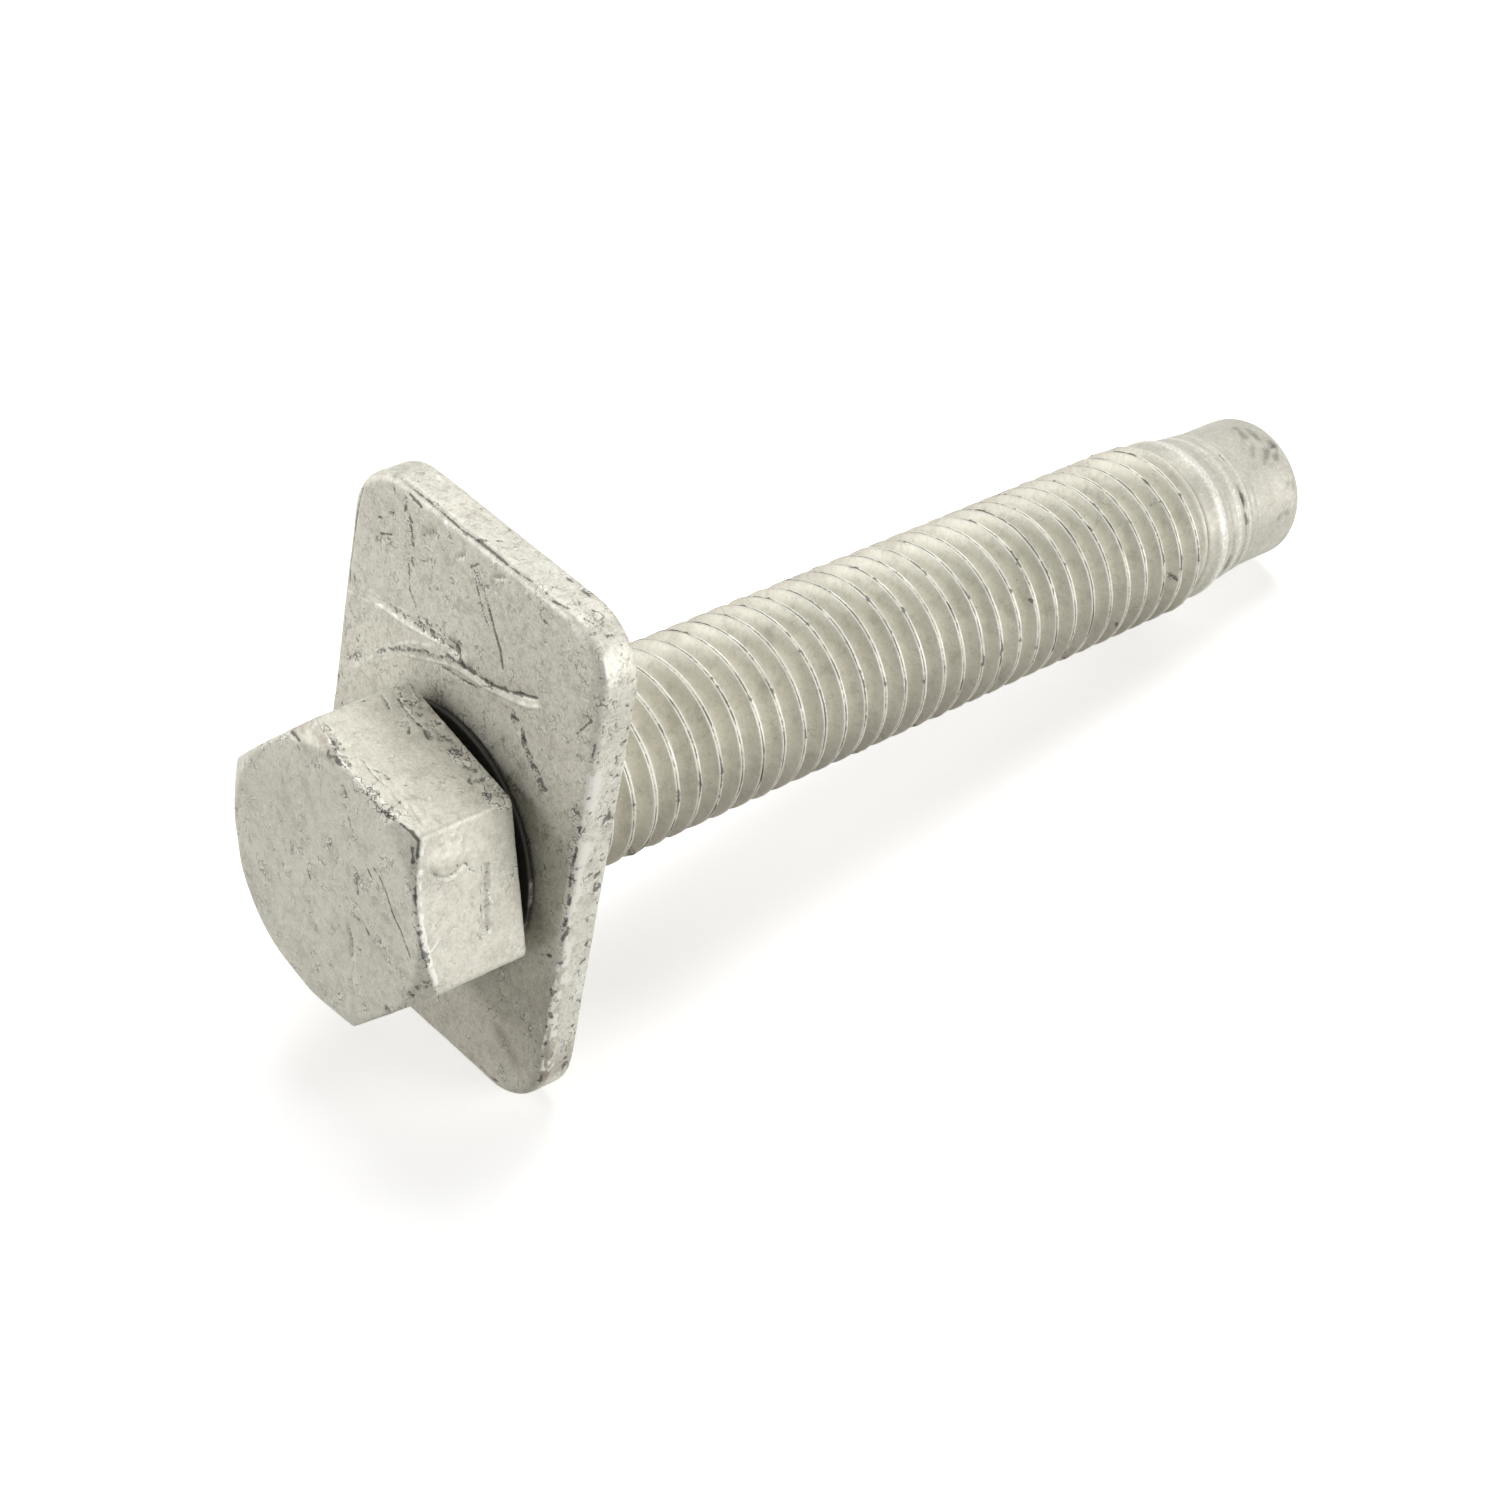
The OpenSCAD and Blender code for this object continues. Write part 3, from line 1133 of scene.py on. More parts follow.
@dataclass
class Head(Piece):
    """Hexagon head with its turned chamfer and its undercut collar, in mm."""

    across_flats: float = 17.0
    corners_d: float = 19.5
    hexagon_h: float = 7.4
    chamfer_deg: float = 30.0
    crown_d: float = 16.9
    # Direction of the first side's normal, up from the left.
    roll_deg: float = 41.5
    collar_d: float = 16.7
    collar_h: float = 1.1
    rim_h: float = 0.35
    rim_edge: float = 0.08
    recess: float = 1.2
    under_edge: float = 0.12
    grain: float = 0.105

    @property
    def length(self) -> float:
        """Height of the head with its collar."""
        return self.hexagon_h + self.collar_h

    @property
    def slope(self) -> float:
        """Drop of the chamfer for each mm outwards."""
        return math.tan(math.radians(self.chamfer_deg))

    def side(self, number: int) -> Flat:
        """Gives one side of the hexagon, measured by Z and across.

        Args:
            number: the side, from 0 for the first, upwards from the left.

        Returns:
            The side.
        """
        turn = math.radians(self.roll_deg + 60 * number)
        normal = Vector((-math.sin(turn), math.cos(turn), 0))
        across = (-math.cos(turn), -math.sin(turn), 0)
        return Flat(tuple(normal * self.across_flats / 2), (0, 0, 1), across)

    def crown(self) -> Crown:
        """Gives the crown with its chamfer."""
        return Crown(-self.length, self.crown_d / 2, self.slope)

    def shape(self) -> bpy.types.Object:
        """Cuts a hexagonal bar to a turned blank and blasts it.

        Returns:
            The head, on the bench.
        """
        top, low = -self.length, -self.collar_h
        crown_r, corner_r = self.crown_d / 2, self.corners_d / 2
        chamfer_h = (corner_r - crown_r) * self.slope
        # A corner is 30 degrees from the middle of a side.
        head = Bench.bar(
            "bolt_head", 6, self.across_flats / math.sqrt(3), top - OVERRUN, low + OVERRUN,
            self.roll_deg - 30,
        )
        blank = Bench.turned(
            "blank",
            [(0, top), (crown_r, top), (corner_r, top + chamfer_h),
             (corner_r, low - self.under_edge), (corner_r - self.under_edge, low), (0, low)],
            ROUND,
        )
        Bench.cut(head, blank, "INTERSECT")
        Bench.blast(head, self.grain, rounds=6)
        return head

    def collar(self) -> bpy.types.Object:
        """Turns the collar: a thin rim on the bearing face and a recess above it, both painted dark
        as shade.

        Returns:
            The collar, on the bench.
        """
        rim_r, edge, base = self.collar_d / 2, self.rim_edge, -self.collar_h - SUNK
        inner_r = rim_r - self.recess
        floor = [(r, -self.rim_h) for r in np.linspace(inner_r, rim_r - edge, 9)]
        collar = Bench.turned(
            "collar",
            [(0, base), (inner_r, base), *floor, (rim_r, edge - self.rim_h), (rim_r, -edge),
             (rim_r - edge, 0), (0, 0)],
            2 * ROUND,
        )
        skin = Skin(collar, seed=5)
        x, y, _ = skin.points.T
        # Painted shade: the recess is dark up to a ragged border on the rim, and the rim is dark
        # too, but for the lower half of its right-hand end, where it catches the light. Dark
        # patches lie over it all.
        ragged = 0.25 * (skin.noise.at(skin.points, 0.8, 2) - 0.5)
        skin.grime_and_shade += 1.3 * smooth_step(np.hypot(x, y) + ragged, rim_r + 0.06, rim_r - 0.1)
        skin.grime_and_shade += 1.2 * smooth_step(y, -0.96 * rim_r, -0.88 * rim_r)
        skin.grime_and_shade += 1.0 * smooth_step(-x, 0.1 * rim_r, 0.5 * rim_r)
        skin.grime_and_shade += 0.4 * skin.patches(grain=0.7, low=0.45, high=0.6)
        skin.finish()
        return collar

    def age(self, head: bpy.types.Object) -> None:
        """Works in the wear that the head has, and the painted shade of the crescent on its
        right-hand side.

        Args:
            head: the head, on the bench.
        """
        skin = Skin(head, seed=11)
        skin.find_edges(full=0.022, reach=30)
        skin.uneven(grain=3.2, height=0.04)
        skin.uneven(grain=0.9, height=0.012)
        skin.wear_edges(bright=0.2, dark=0.28, chip=0.02)
        top, right = self.side(1), self.side(2)
        skin.roughen(top, ((-1.9, -4.8), (-2.0, 0.0), (-1.9, 4.8)), width=0.9, depth=0.05)
        skin.roughen(top, self.ridge(0.3), width=0.4, depth=0.03)
        # There is more fine wear all over the crown: more pits, and more painted shade and
        # highlight lines.
        skin.busy += 0.2 * (skin.points[:, 2] < 0.1 - self.length)
        skin.mark(top, {MarkKind.GLINT: (self.ridge(0.05),), **HEXAGON_TOP_MARKS}, share=0.75)
        skin.mark(right, {
            MarkKind.GLINT: (self.ridge(0.1), self.ridge(0.32)), **HEXAGON_RIGHT_MARKS,
        })
        skin.mark(right, {
            MarkKind.HAIR: (((-3.7, -1.7), (-4.0, 0.2), (-4.1, 2.1)), self.ridge(-0.02)),
        }, share=0.75)
        skin.mark(self.crown(), CROWN_MARKS)
        scratches = (MarkKind.HAIR, MarkKind.FLECK, MarkKind.GLINT)
        skin.scatter(count=110, length=1.4, kinds=scratches)
        skin.finish()

    def ridge(self, inset: float) -> tuple[Point, ...]:
        """Follows the curved edge between the crown and one side of the hexagon.

        Args:
            inset: how far into the side the line runs, in mm.

        Returns:
            The line, by a side's two measures.
        """
        flat_r = self.across_flats / 2
        # It stops a little short of the corners, which are 30 degrees from the middle.
        return tuple(
            (inset - self.length + (flat_r / math.cos(turn) - self.crown_d / 2) * self.slope,
             flat_r * math.tan(turn))
            for turn in np.radians(np.linspace(-26, 26, 9))
        )

    def additions(self) -> list[bpy.types.Object]:
        """Makes the collar."""
        return [self.collar()]


# Marks between the thread's crests, by Z and the angle up from the left.
FLANK_MARKS: Marks = {
    MarkKind.DUSK: (
        ((14.6, 107), (14.9, 124)), ((57.1, 118), (58.8, 116)), ((58.3, 174), (60.7, 185)),
        ((53.4, 194), (54.4, 200)),
    ),
    MarkKind.PIT: (
        ((14.7, 164),), ((18.1, 88),), ((21.5, 107),), ((53.6, 93),),
    ),
}

# Marks on the thread's crests, by the same measures.
CREST_MARKS: Marks = {
    MarkKind.FLECK: (
        ((53.2, 188), (53.9, 205)), ((61.2, 186), (61.9, 200)), ((61.6, 205), (61.6, 214)),
        ((58.4, 172), (58.8, 178)),
    ),
    MarkKind.PIT: (
        ((48.4, 182),), ((46.6, 182),), ((45.1, 192),), ((44.5, 146),), ((46.4, 145),),
        ((41.3, 129),), ((43.0, 135),), ((37.9, 179),), ((59.0, 115),), ((57.1, 118),),
        ((53.7, 94),), ((58.6, 77),),
    ),
}


@dataclass
class Thread(Piece):
    """Rolled right-hand thread and the plain neck behind it, in mm."""

    crest_d: float = 11.85
    root_d: float = 9.7
    pitch: float = 1.75
    start: float = 4.0
    end: float = 62.3
    neck_d: float = 10.8
    neck_chamfer: float = 0.3
    steps: int = 176
    # Height from root to crest, against the share of the pitch, over one turn. The crest has two
    # thin ribs with the seam between them that rolling leaves.
    form: tuple[Point, ...] = (
        (0.0, 0.0), (0.12, 0.0), (0.2, 0.06), (0.35, 0.5), (0.475, 0.91), (0.505, 0.975),
        (0.53, 1.0), (0.56, 0.98), (0.6, 0.94), (0.64, 0.98), (0.67, 1.0), (0.695, 0.975),
        (0.725, 0.91), (0.85, 0.5), (0.98, 0.06), (1.0, 0.0),
    )
    seam: float = 0.6
    # Share of the pitch and brightness of each rib. Its bright line is partly rubbed wear and
    # partly painted highlight, brighter on the rib towards the point.
    ribs: tuple[Point, ...] = ((0.53, 0.5), (0.67, 1.0))
    # Radii at which the marks between the crests and on them are struck.
    flank_r: float = 5.55
    near_crest_r: float = 5.85

    def radius(self, height: float) -> float:
        """Radius at a height from 0 at the root to 1 at the crest."""
        return (self.root_d + (self.crest_d - self.root_d) * height) / 2

    def shape(self) -> bpy.types.Object:
        """Winds the thread's form up the axis and cuts its ends square.

        Returns:
            The thread, on the bench.
        """
        # It starts two turns early and ends late, so that both ends can be cut square.
        turns = math.ceil((self.end - self.start) / self.pitch) + 3
        low = self.start - 2 * self.pitch
        thread = Bench.line(
            "bolt_thread", [(self.radius(h), low + z * self.pitch) for z, h in self.form]
        )
        bpy.ops.object.mode_set(mode="OBJECT")
        Bench.modify(
            thread, "SCREW", axis="Z", angle=FULL_TURN, screw_offset=self.pitch, iterations=turns,
            steps=self.steps, render_steps=self.steps, use_merge_vertices=False,
        )
        Bench.take(thread)
        bpy.ops.object.mode_set(mode="EDIT")
        bpy.ops.mesh.select_all(action="SELECT")
        bpy.ops.mesh.remove_doubles(threshold=DOUBLES)
        for z, waste in ((self.start, "clear_inner"), (self.end, "clear_outer")):
            bpy.ops.mesh.select_all(action="SELECT")
            bpy.ops.mesh.bisect(
                plane_co=(0, 0, z), plane_no=(0, 0, 1), use_fill=True, **{waste: True}
            )
        Bench.close_up()
        return thread

    def age(self, thread: bpy.types.Object) -> None:
        """Fades the ends of the thread and works in its wear, with painted highlight along the
        crests and painted shade on the lower side.

        Args:
            thread: the thread, on the bench.
        """
        skin = Skin(thread, seed=23)
        x, y, z = skin.points.T
        radius, root_r = np.hypot(x, y), self.root_d / 2
        height = (radius - root_r) / (self.radius(1) - root_r)
        # The thread rises over its first turn and sinks into the foot of the point.
        fade = smooth_step(z, self.start - 0.2, self.start + self.pitch)
        fade *= smooth_step(z, self.end + 0.6, self.end - 1.0)
        kept = root_r + (radius - root_r) * fade
        skin.points[:, :2] *= np.where(height > 0.02, kept / radius, 1.0)[:, None]
        # Where each vertex is on the thread's form, with a wobble, as a share of the pitch.
        phase = ((z - self.start) / self.pitch - np.arctan2(y, x) / FULL_TURN) % 1.0
        phase += 0.07 * (skin.noise.at(skin.points, 2.2, 2) - 0.5)
        skin.uneven(grain=1.2, height=0.028)
        # The ribs' bright lines: rubbed wear, and in part painted highlight.
        for number, (rib, bright) in enumerate(self.ribs):
            unbroken = skin.patches(
                grain=1.3, low=0.4, high=0.56, octaves=3, shift=23.0 * number
            )
            line = smooth_step(np.abs(phase - rib), 0.032, 0.0) * fade
            skin.worn_and_highlight += line * bright * (0.45 + 0.5 * unbroken)
        off_seam = np.abs(phase - self.seam)
        seam = smooth_step(off_seam, 0.045, 0.02) * fade
        skin.grime_and_shade += 0.5 * seam
        open_seam = seam * skin.patches(grain=1.3, low=0.35, high=0.55, octaves=3)
        skin.speckle(open_seam, grain=0.5, level=0.4, tone=0.55, depth=0.02)
        beside = smooth_step(off_seam, 0.16, 0.05) * fade
        skin.speckle(beside, grain=0.55, level=0.68, tone=0.6, depth=0.03)
        # Painted shade: the lower side is darker and browner, as the light falls from above. The
        # left-hand side is browner too.
        down, left = x / radius, y / radius
        low_side = (down + 0.25) * 0.9
        patchy = 0.6 + 0.8 * skin.noise.at(skin.points, 3.5, 2)
        skin.stain_and_shade += 0.4 * patchy * smooth_step(low_side, -0.3, 0.8)
        skin.stain_and_shade += 0.36 * smooth_step(left, 0.0, 0.7)
        pitted = smooth_step(low_side, 0.4, 1.0)
        skin.speckle(pitted, grain=0.8, level=0.62, tone=0.6, depth=0.03)
        skin.mark(Barrel(self.flank_r), FLANK_MARKS)
        skin.mark(Barrel(self.near_crest_r), CREST_MARKS)
        skin.finish()

    def additions(self) -> list[bpy.types.Object]:
        """Turns the plain neck.

        Returns:
            The neck, which goes into the head and a little into the thread.
        """
        neck_r, end = self.neck_d / 2, self.start + 0.1
        profile = [
            (0, -SUNK), (neck_r, -SUNK), (neck_r, end - self.neck_chamfer),
            (neck_r - self.neck_chamfer, end), (0, end),
        ]
        return [Bench.turned("neck", profile, ROUND)]


# Marks on the taper, by Z and the angle up from the left.
TAPER_MARKS: Marks = {
    MarkKind.BLOT: (
        ((65.1, 185), (65.2, 196)), ((66.5, 132), (66.6, 141), (66.8, 148)),
        ((66.4, 154), (66.8, 160)),
    ),
    MarkKind.FLECK: (
        ((66.7, 101), (66.7, 112)), ((67.2, 117), (67.3, 121)), ((66.5, 138), (66.5, 146)),
        ((66.8, 153), (66.8, 156)), ((65.0, 166), (65.1, 170)), ((66.1, 198), (66.0, 207)),
    ),
}

# Marks on the plain point, by the same measures.
PILOT_MARKS: Marks = {
    MarkKind.BLOT: (
        ((70.6, 80), (70.2, 93)), ((71.2, 88), (71.1, 101)), ((70.1, 104), (69.5, 112)),
        ((71.9, 108), (71.0, 113), (70.0, 121)), ((72.0, 113), (71.2, 122)),
        ((70.3, 169), (71.2, 168)), ((71.4, 144), (71.9, 148)), ((69.3, 100), (69.6, 101)),
    ),
    MarkKind.SMEAR: (
        ((70.0, 84), (71.5, 102)), ((70.6, 112), (71.4, 122)),
    ),
}


@dataclass
class PilotPoint(Piece):
    """Shoulder ring, turned taper and plain rounded point, in mm."""

    end: float = 73.0
    # (radius, Z) of the foot in the last thread, its top, the ring and the start of the taper.
    shoulder: tuple[Point, ...] = ((4.8, 61.7), (5.4, 62.45), (5.65, 63.65), (5.32, 64.6))
    taper_end: float = 68.4
    point_r: float = 4.95
    nose_r: float = 1.3
    steps: int = 176
    # (Z, depth) of the turning grooves, and (Z, half width, brightness) of the painted highlight
    # bands, where the ring and the turned faces catch the light.
    grooves: tuple[Point, ...] = ((65.1, 0.08), (66.5, 0.1), (67.3, 0.05), (67.9, 0.05))
    highlight_bands: tuple[tuple[float, float, float], ...] = (
        (63.75, 0.75, 0.42), (65.75, 0.45, 0.34), (66.95, 0.25, 0.3), (70.3, 1.6, 0.12),
    )
    groove_w: float = 0.14
    # Mean radius of the taper, at which its marks are struck.
    taper_r: float = 5.15

    def profile(self) -> list[Point]:
        """Draws the turned profile, from the axis out and back.

        Returns:
            (radius, Z) of each point.
        """
        ring = [self.shoulder[0]]
        for (low_r, low_z), (high_r, high_z) in zip(self.shoulder, self.shoulder[1:]):
            ring += [
                (low_r + (high_r - low_r) * t * t * (3 - 2 * t), low_z + (high_z - low_z) * t)
                for t in np.linspace(0, 1, 9)[1:]
            ]
        root_r, root_z = self.shoulder[-1]
        taper = [
            (root_r + (self.point_r - root_r) * t, root_z + (self.taper_end - root_z) * t)
            for t in np.linspace(0, 1, 28)[1:]
        ]
        nose_z = self.end - self.nose_r
        plain = [(self.point_r, z) for z in np.linspace(self.taper_end, nose_z, 17)[1:]]
        nose = [
            (self.point_r - self.nose_r * (1 - math.cos(t)), nose_z + self.nose_r * math.sin(t))
            for t in np.linspace(0, math.pi / 2, 12)[1:]
        ]
        face = [(r, self.end) for r in np.linspace(self.point_r - self.nose_r, 0, 12)[1:]]
        return [(0, self.shoulder[0][1]), *ring, *taper, *plain, *nose, *face]

    def shape(self) -> bpy.types.Object:
        """Turns the point on the bench."""
        return Bench.turned("bolt_point", self.profile(), self.steps)

    def age(self, point: bpy.types.Object) -> None:
        """Works in the turning marks, the stains and the painted highlight bands.

        Args:
            point: the point, on the bench.
        """
        skin = Skin(point, seed=37)
        # The turned grooves and the painted highlight bands wobble a little along the axis.
        z = skin.points[:, 2] + 0.12 * (skin.noise.at(skin.points, 4.0) - 0.5)
        patchy = skin.patches(grain=2.4, low=0.35, high=0.6, shift=5.0)
        for place, depth in self.grooves:
            groove = depth * np.exp(-(((z - place) / self.groove_w) ** 2))
            skin.lift -= groove
            skin.grime_and_shade += 5 * groove * patchy
        skin.uneven(grain=2.0, height=0.03)
        skin.uneven(grain=0.7, height=0.008)
        for place, half, bright in self.highlight_bands:
            skin.worn_and_highlight += bright * smooth_step(np.abs(z - place), half, 0.3 * half)
        skin.mark(Barrel(self.taper_r), TAPER_MARKS)
        skin.mark(Barrel(self.point_r), PILOT_MARKS)
        skin.scatter(count=12, length=0.8, kinds=(MarkKind.FLECK, MarkKind.GLINT))
        skin.finish()


# Marks on the plate's front and round its rolled edge, to the left and up. Along the two
# pressed arcs above the head, the dark lines and bands just above each step are painted shade
# and the bright lines just below it are painted highlight, over a real shallow dent and seam.
PLATE_MARKS: Marks = {
    MarkKind.DENT: (
        ((-4.7, 12.9), (-5.9, 13.5)), ((8.6, 11.6), (3.0, 12.0), (0.4, 12.6)),
    ),
    MarkKind.SEAM: (
        ((3.0, 10.4), (1.6, 11.05), (0.4, 11.4), (-0.7, 11.5), (-1.7, 11.6), (-2.6, 11.8),
         (-3.8, 12.1), (-5.4, 12.6), (-6.2, 13.1)),
        ((7.7, 11.2), (6.6, 11.3), (5.3, 11.4), (2.8, 11.9), (1.6, 12.2)),
    ),
    MarkKind.GLINT: (
        ((10.0, 11.3), (8.1, 11.7), (6.0, 12.1), (3.1, 12.6), (1.5, 12.8)),
        ((10.4, 10.5), (7.3, 11.2)), ((9.4, 5.6), (8.3, 6.9), (7.2, 8.1), (5.5, 9.2)),
        ((6.8, 8.0), (5.0, 9.5), (3.0, 10.4)), ((5.6, 9.9), (4.1, 10.9), (2.6, 11.5)),
        ((-5.0, 10.5), (-5.6, 9.9)), ((-7.3, 9.2), (-7.7, 8.6)),
        ((-9.8, 19.6), (-10.5, 18.6), (-10.8, 18.0)),
        ((-10.8, 11.6), (-10.9, 9.2), (-10.9, 7.1), (-11.0, 4.9)),
        ((-10.9, 2.9), (-11.0, 1.1), (-11.1, -1.3)),
        ((-10.9, -2.7), (-10.9, -4.5), (-10.9, -7.2), (-10.8, -8.6), (-11.0, -10.6)),
    ),
    MarkKind.RUCK: (
        ((7.4, 8.1), (5.6, 9.5), (4.2, 10.3), (2.8, 10.9), (1.5, 11.5), (0.2, 12.0)),
    ),
    MarkKind.DUSK: (
        ((0.7, 12.1), (-0.8, 12.0), (-2.0, 12.1), (-3.3, 12.5), (-4.7, 12.9)),
        ((7.4, 11.8), (5.3, 11.8), (0.9, 12.4)), ((4.5, 12.4), (0.7, 13.0)),
        ((-4.3, 11.2), (-5.5, 10.2), (-6.6, 9.3), (-7.8, 8.4)), ((4.6, 18.4), (4.1, 18.5)),
        ((6.6, 19.3), (6.0, 18.2), (5.6, 17.0), (5.4, 15.8)), ((3.6, 18.9), (4.6, 18.1)),
        ((7.9, 17.6), (7.5, 17.9)), ((-10.3, 8.9), (-10.6, 8.5)), ((-12.5, 10.6), (-12.8, 12.2)),
        ((-12.3, 8.2), (-13.0, 7.3), (-12.6, 6.9)), ((-12.9, 1.8), (-12.7, 3.5)),
        ((9.4, 7.8), (8.9, 7.0), (9.9, 6.0)), ((11.1, 6.4), (10.7, 4.5), (10.6, 2.8)),
    ),
    MarkKind.GASH: (
        ((-4.7, 13.0), (-5.3, 13.2), (-6.0, 13.6)),
        ((-1.3, 16.6), (-1.9, 15.7), (-2.6, 14.7), (-3.0, 13.7)),
        ((6.3, 19.8), (5.7, 19.7), (5.2, 19.6)), ((0.6, 20.2), (-0.7, 20.2), (-1.9, 20.2)),
    ),
    MarkKind.HAIR: (
        ((1.7, 11.7), (0.5, 11.8), (-0.7, 11.9), (-2.2, 12.1), (-3.5, 12.5), (-5.9, 13.5)),
        ((1.8, 10.7), (0.3, 10.9), (-1.2, 11.2)), ((0.3, 18.3), (-0.6, 17.6), (-1.3, 16.6)),
        ((10.3, 17.9), (10.5, 16.3), (10.6, 14.5), (10.6, 12.5), (10.5, 11.1)),
        ((0.2, 17.9), (-0.9, 16.1), (-1.5, 15.5)), ((5.7, 15.4), (5.3, 13.8), (4.6, 13.0)),
        ((11.5, 5.3), (9.9, 2.5)), ((11.3, 16.2), (10.1, 11.5)),
        ((6.6, 20.2), (5.5, 20.2), (4.1, 20.2), (1.8, 20.1), (0.6, 20.2)),
        ((-1.9, 20.2), (-3.0, 20.2), (-4.0, 20.3)), ((-0.1, 21.0), (-0.3, 21.3)),
    ),
    MarkKind.FLECK: (
        ((0.8, 12.8), (0.5, 12.1)), ((-0.9, 12.9), (-1.1, 12.5)), ((0.6, 18.4), (0.0, 19.0)),
        ((6.5, 19.1), (6.6, 18.5)), ((6.1, 18.5), (5.8, 17.8)), ((8.3, 15.9), (7.4, 16.4)),
        ((4.6, 17.7), (4.5, 17.5)), ((2.6, 19.0), (2.4, 18.9)), ((7.7, 19.5), (7.5, 19.2)),
        ((-5.6, 18.7), (-6.1, 18.7)), ((-3.4, 11.5), (-3.7, 11.5)), ((-4.4, 11.2), (-4.9, 11.3)),
        ((-5.3, 11.1), (-5.5, 10.3)), ((-6.2, 9.5), (-6.6, 8.9)), ((-10.9, 13.8), (-10.8, 12.6)),
        ((-10.8, 6.2), (-10.7, 4.8), (-10.8, 3.3), (-10.9, 2.1)), ((-10.8, 7.7), (-10.8, 7.3)),
        ((-10.9, 0.9), (-10.9, -0.7)),
        ((-9.9, 15.0), (-10.4, 15.0), (-9.9, 14.2), (-9.5, 13.5), (-10.0, 13.1), (-10.5, 13.6)),
        ((-9.2, -2.8), (-10.3, -2.1)), ((-10.7, -4.5), (-10.8, -4.9)),
        ((-10.9, -6.2), (-11.0, -6.5)), ((-11.0, -11.2), (-11.0, -12.1)),
        ((-10.7, -11.6), (-10.9, -11.7)), ((-6.1, -14.1), (-6.8, -14.2), (-7.7, -14.1)),
        ((-5.9, 20.2), (-7.0, 20.4), (-7.7, 20.6)), ((-4.3, 22.1), (-5.1, 22.2), (-6.9, 22.1)),
        ((-8.1, 20.5), (-8.7, 20.6)), ((-7.9, 21.4), (-8.5, 21.6)), ((-6.6, 21.4), (-7.5, 20.9)),
        ((0.5, 20.3), (0.2, 20.5)), ((-9.5, 21.8), (-10.9, 21.7)), ((-12.8, -0.2), (-12.4, 0.5)),
        ((-12.8, -1.3), (-12.9, -1.9)), ((-12.5, -3.3), (-12.6, -4.0)),
        ((-12.4, -10.6), (-12.6, -11.8), (-12.6, -9.4)),
    ),
    MarkKind.PIT: (
        ((-9.8, -12.4),), ((-10.8, -7.3),), ((-10.1, -2.2),), ((-10.9, -8.6),), ((-10.9, -9.6),),
        ((8.0, 20.1),), ((-5.2, 20.3),), ((-11.2, 12.3),), ((-11.2, 14.4),), ((-12.6, 11.6),),
        ((-12.6, 12.1),), ((-12.3, 9.8),), ((-11.0, 9.8),), ((-11.3, 8.7),), ((-12.8, 5.0),),
        ((-12.6, 3.4),), ((-12.6, 3.6),), ((-12.9, 0.5),), ((-12.8, -1.7),), ((-13.1, 13.1),),
        ((-12.7, 15.7),), ((-13.0, 8.8),), ((-12.9, 10.7),), ((-9.9, 20.4),), ((-10.1, 20.6),),
        ((-12.9, -4.6),), ((-12.6, -3.1),), ((-12.9, -6.0),), ((-12.8, -8.0),), ((-12.2, -12.4),),
    ),
    MarkKind.SOFT: (
        ((1.7, 18.4), (1.3, 18.7), (1.3, 19.0)), ((-1.4, 18.9), (-2.1, 19.4)),
        ((-1.2, 18.5), (-1.5, 18.1)),
    ),
    MarkKind.SHEEN: (
        ((9.0, 20.0), (4.0, 19.95), (-1.0, 19.95), (-6.0, 20.0), (-8.5, 19.6)),
        ((-11.3, 14.0), (-11.3, 6.0), (-11.3, -8.0)), ((-5.6, 9.8), (-7.8, 8.2)),
        ((-6.4, 10.4), (-8.2, 8.5)), ((-10.7, 19.7), (-11.3, 18.5), (-11.4, 17.3)),
        ((-10.9, 17.3), (-11.0, 15.2)), ((-12.7, 10.1), (-12.8, 10.4)),
        ((-11.0, 4.9), (-11.0, 2.6), (-11.2, -0.5)), ((-11.5, -0.7), (-11.7, -3.6)),
        ((-11.1, -4.8), (-11.3, -7.5), (-11.6, -10.8)),
    ),
    MarkKind.SMEAR: (
        ((4.5, 18.2), (4.1, 18.7)), ((-6.1, 19.7), (-7.5, 19.6)), ((-9.8, 14.9), (-10.2, 15.0)),
        # The first smear on the next line, beside the head on its right, is painted shade.
        ((-6.6, 12.8), (-8.4, 11.2)), ((-7.2, -10.4), (-8.8, -11.4)),
    ),
}


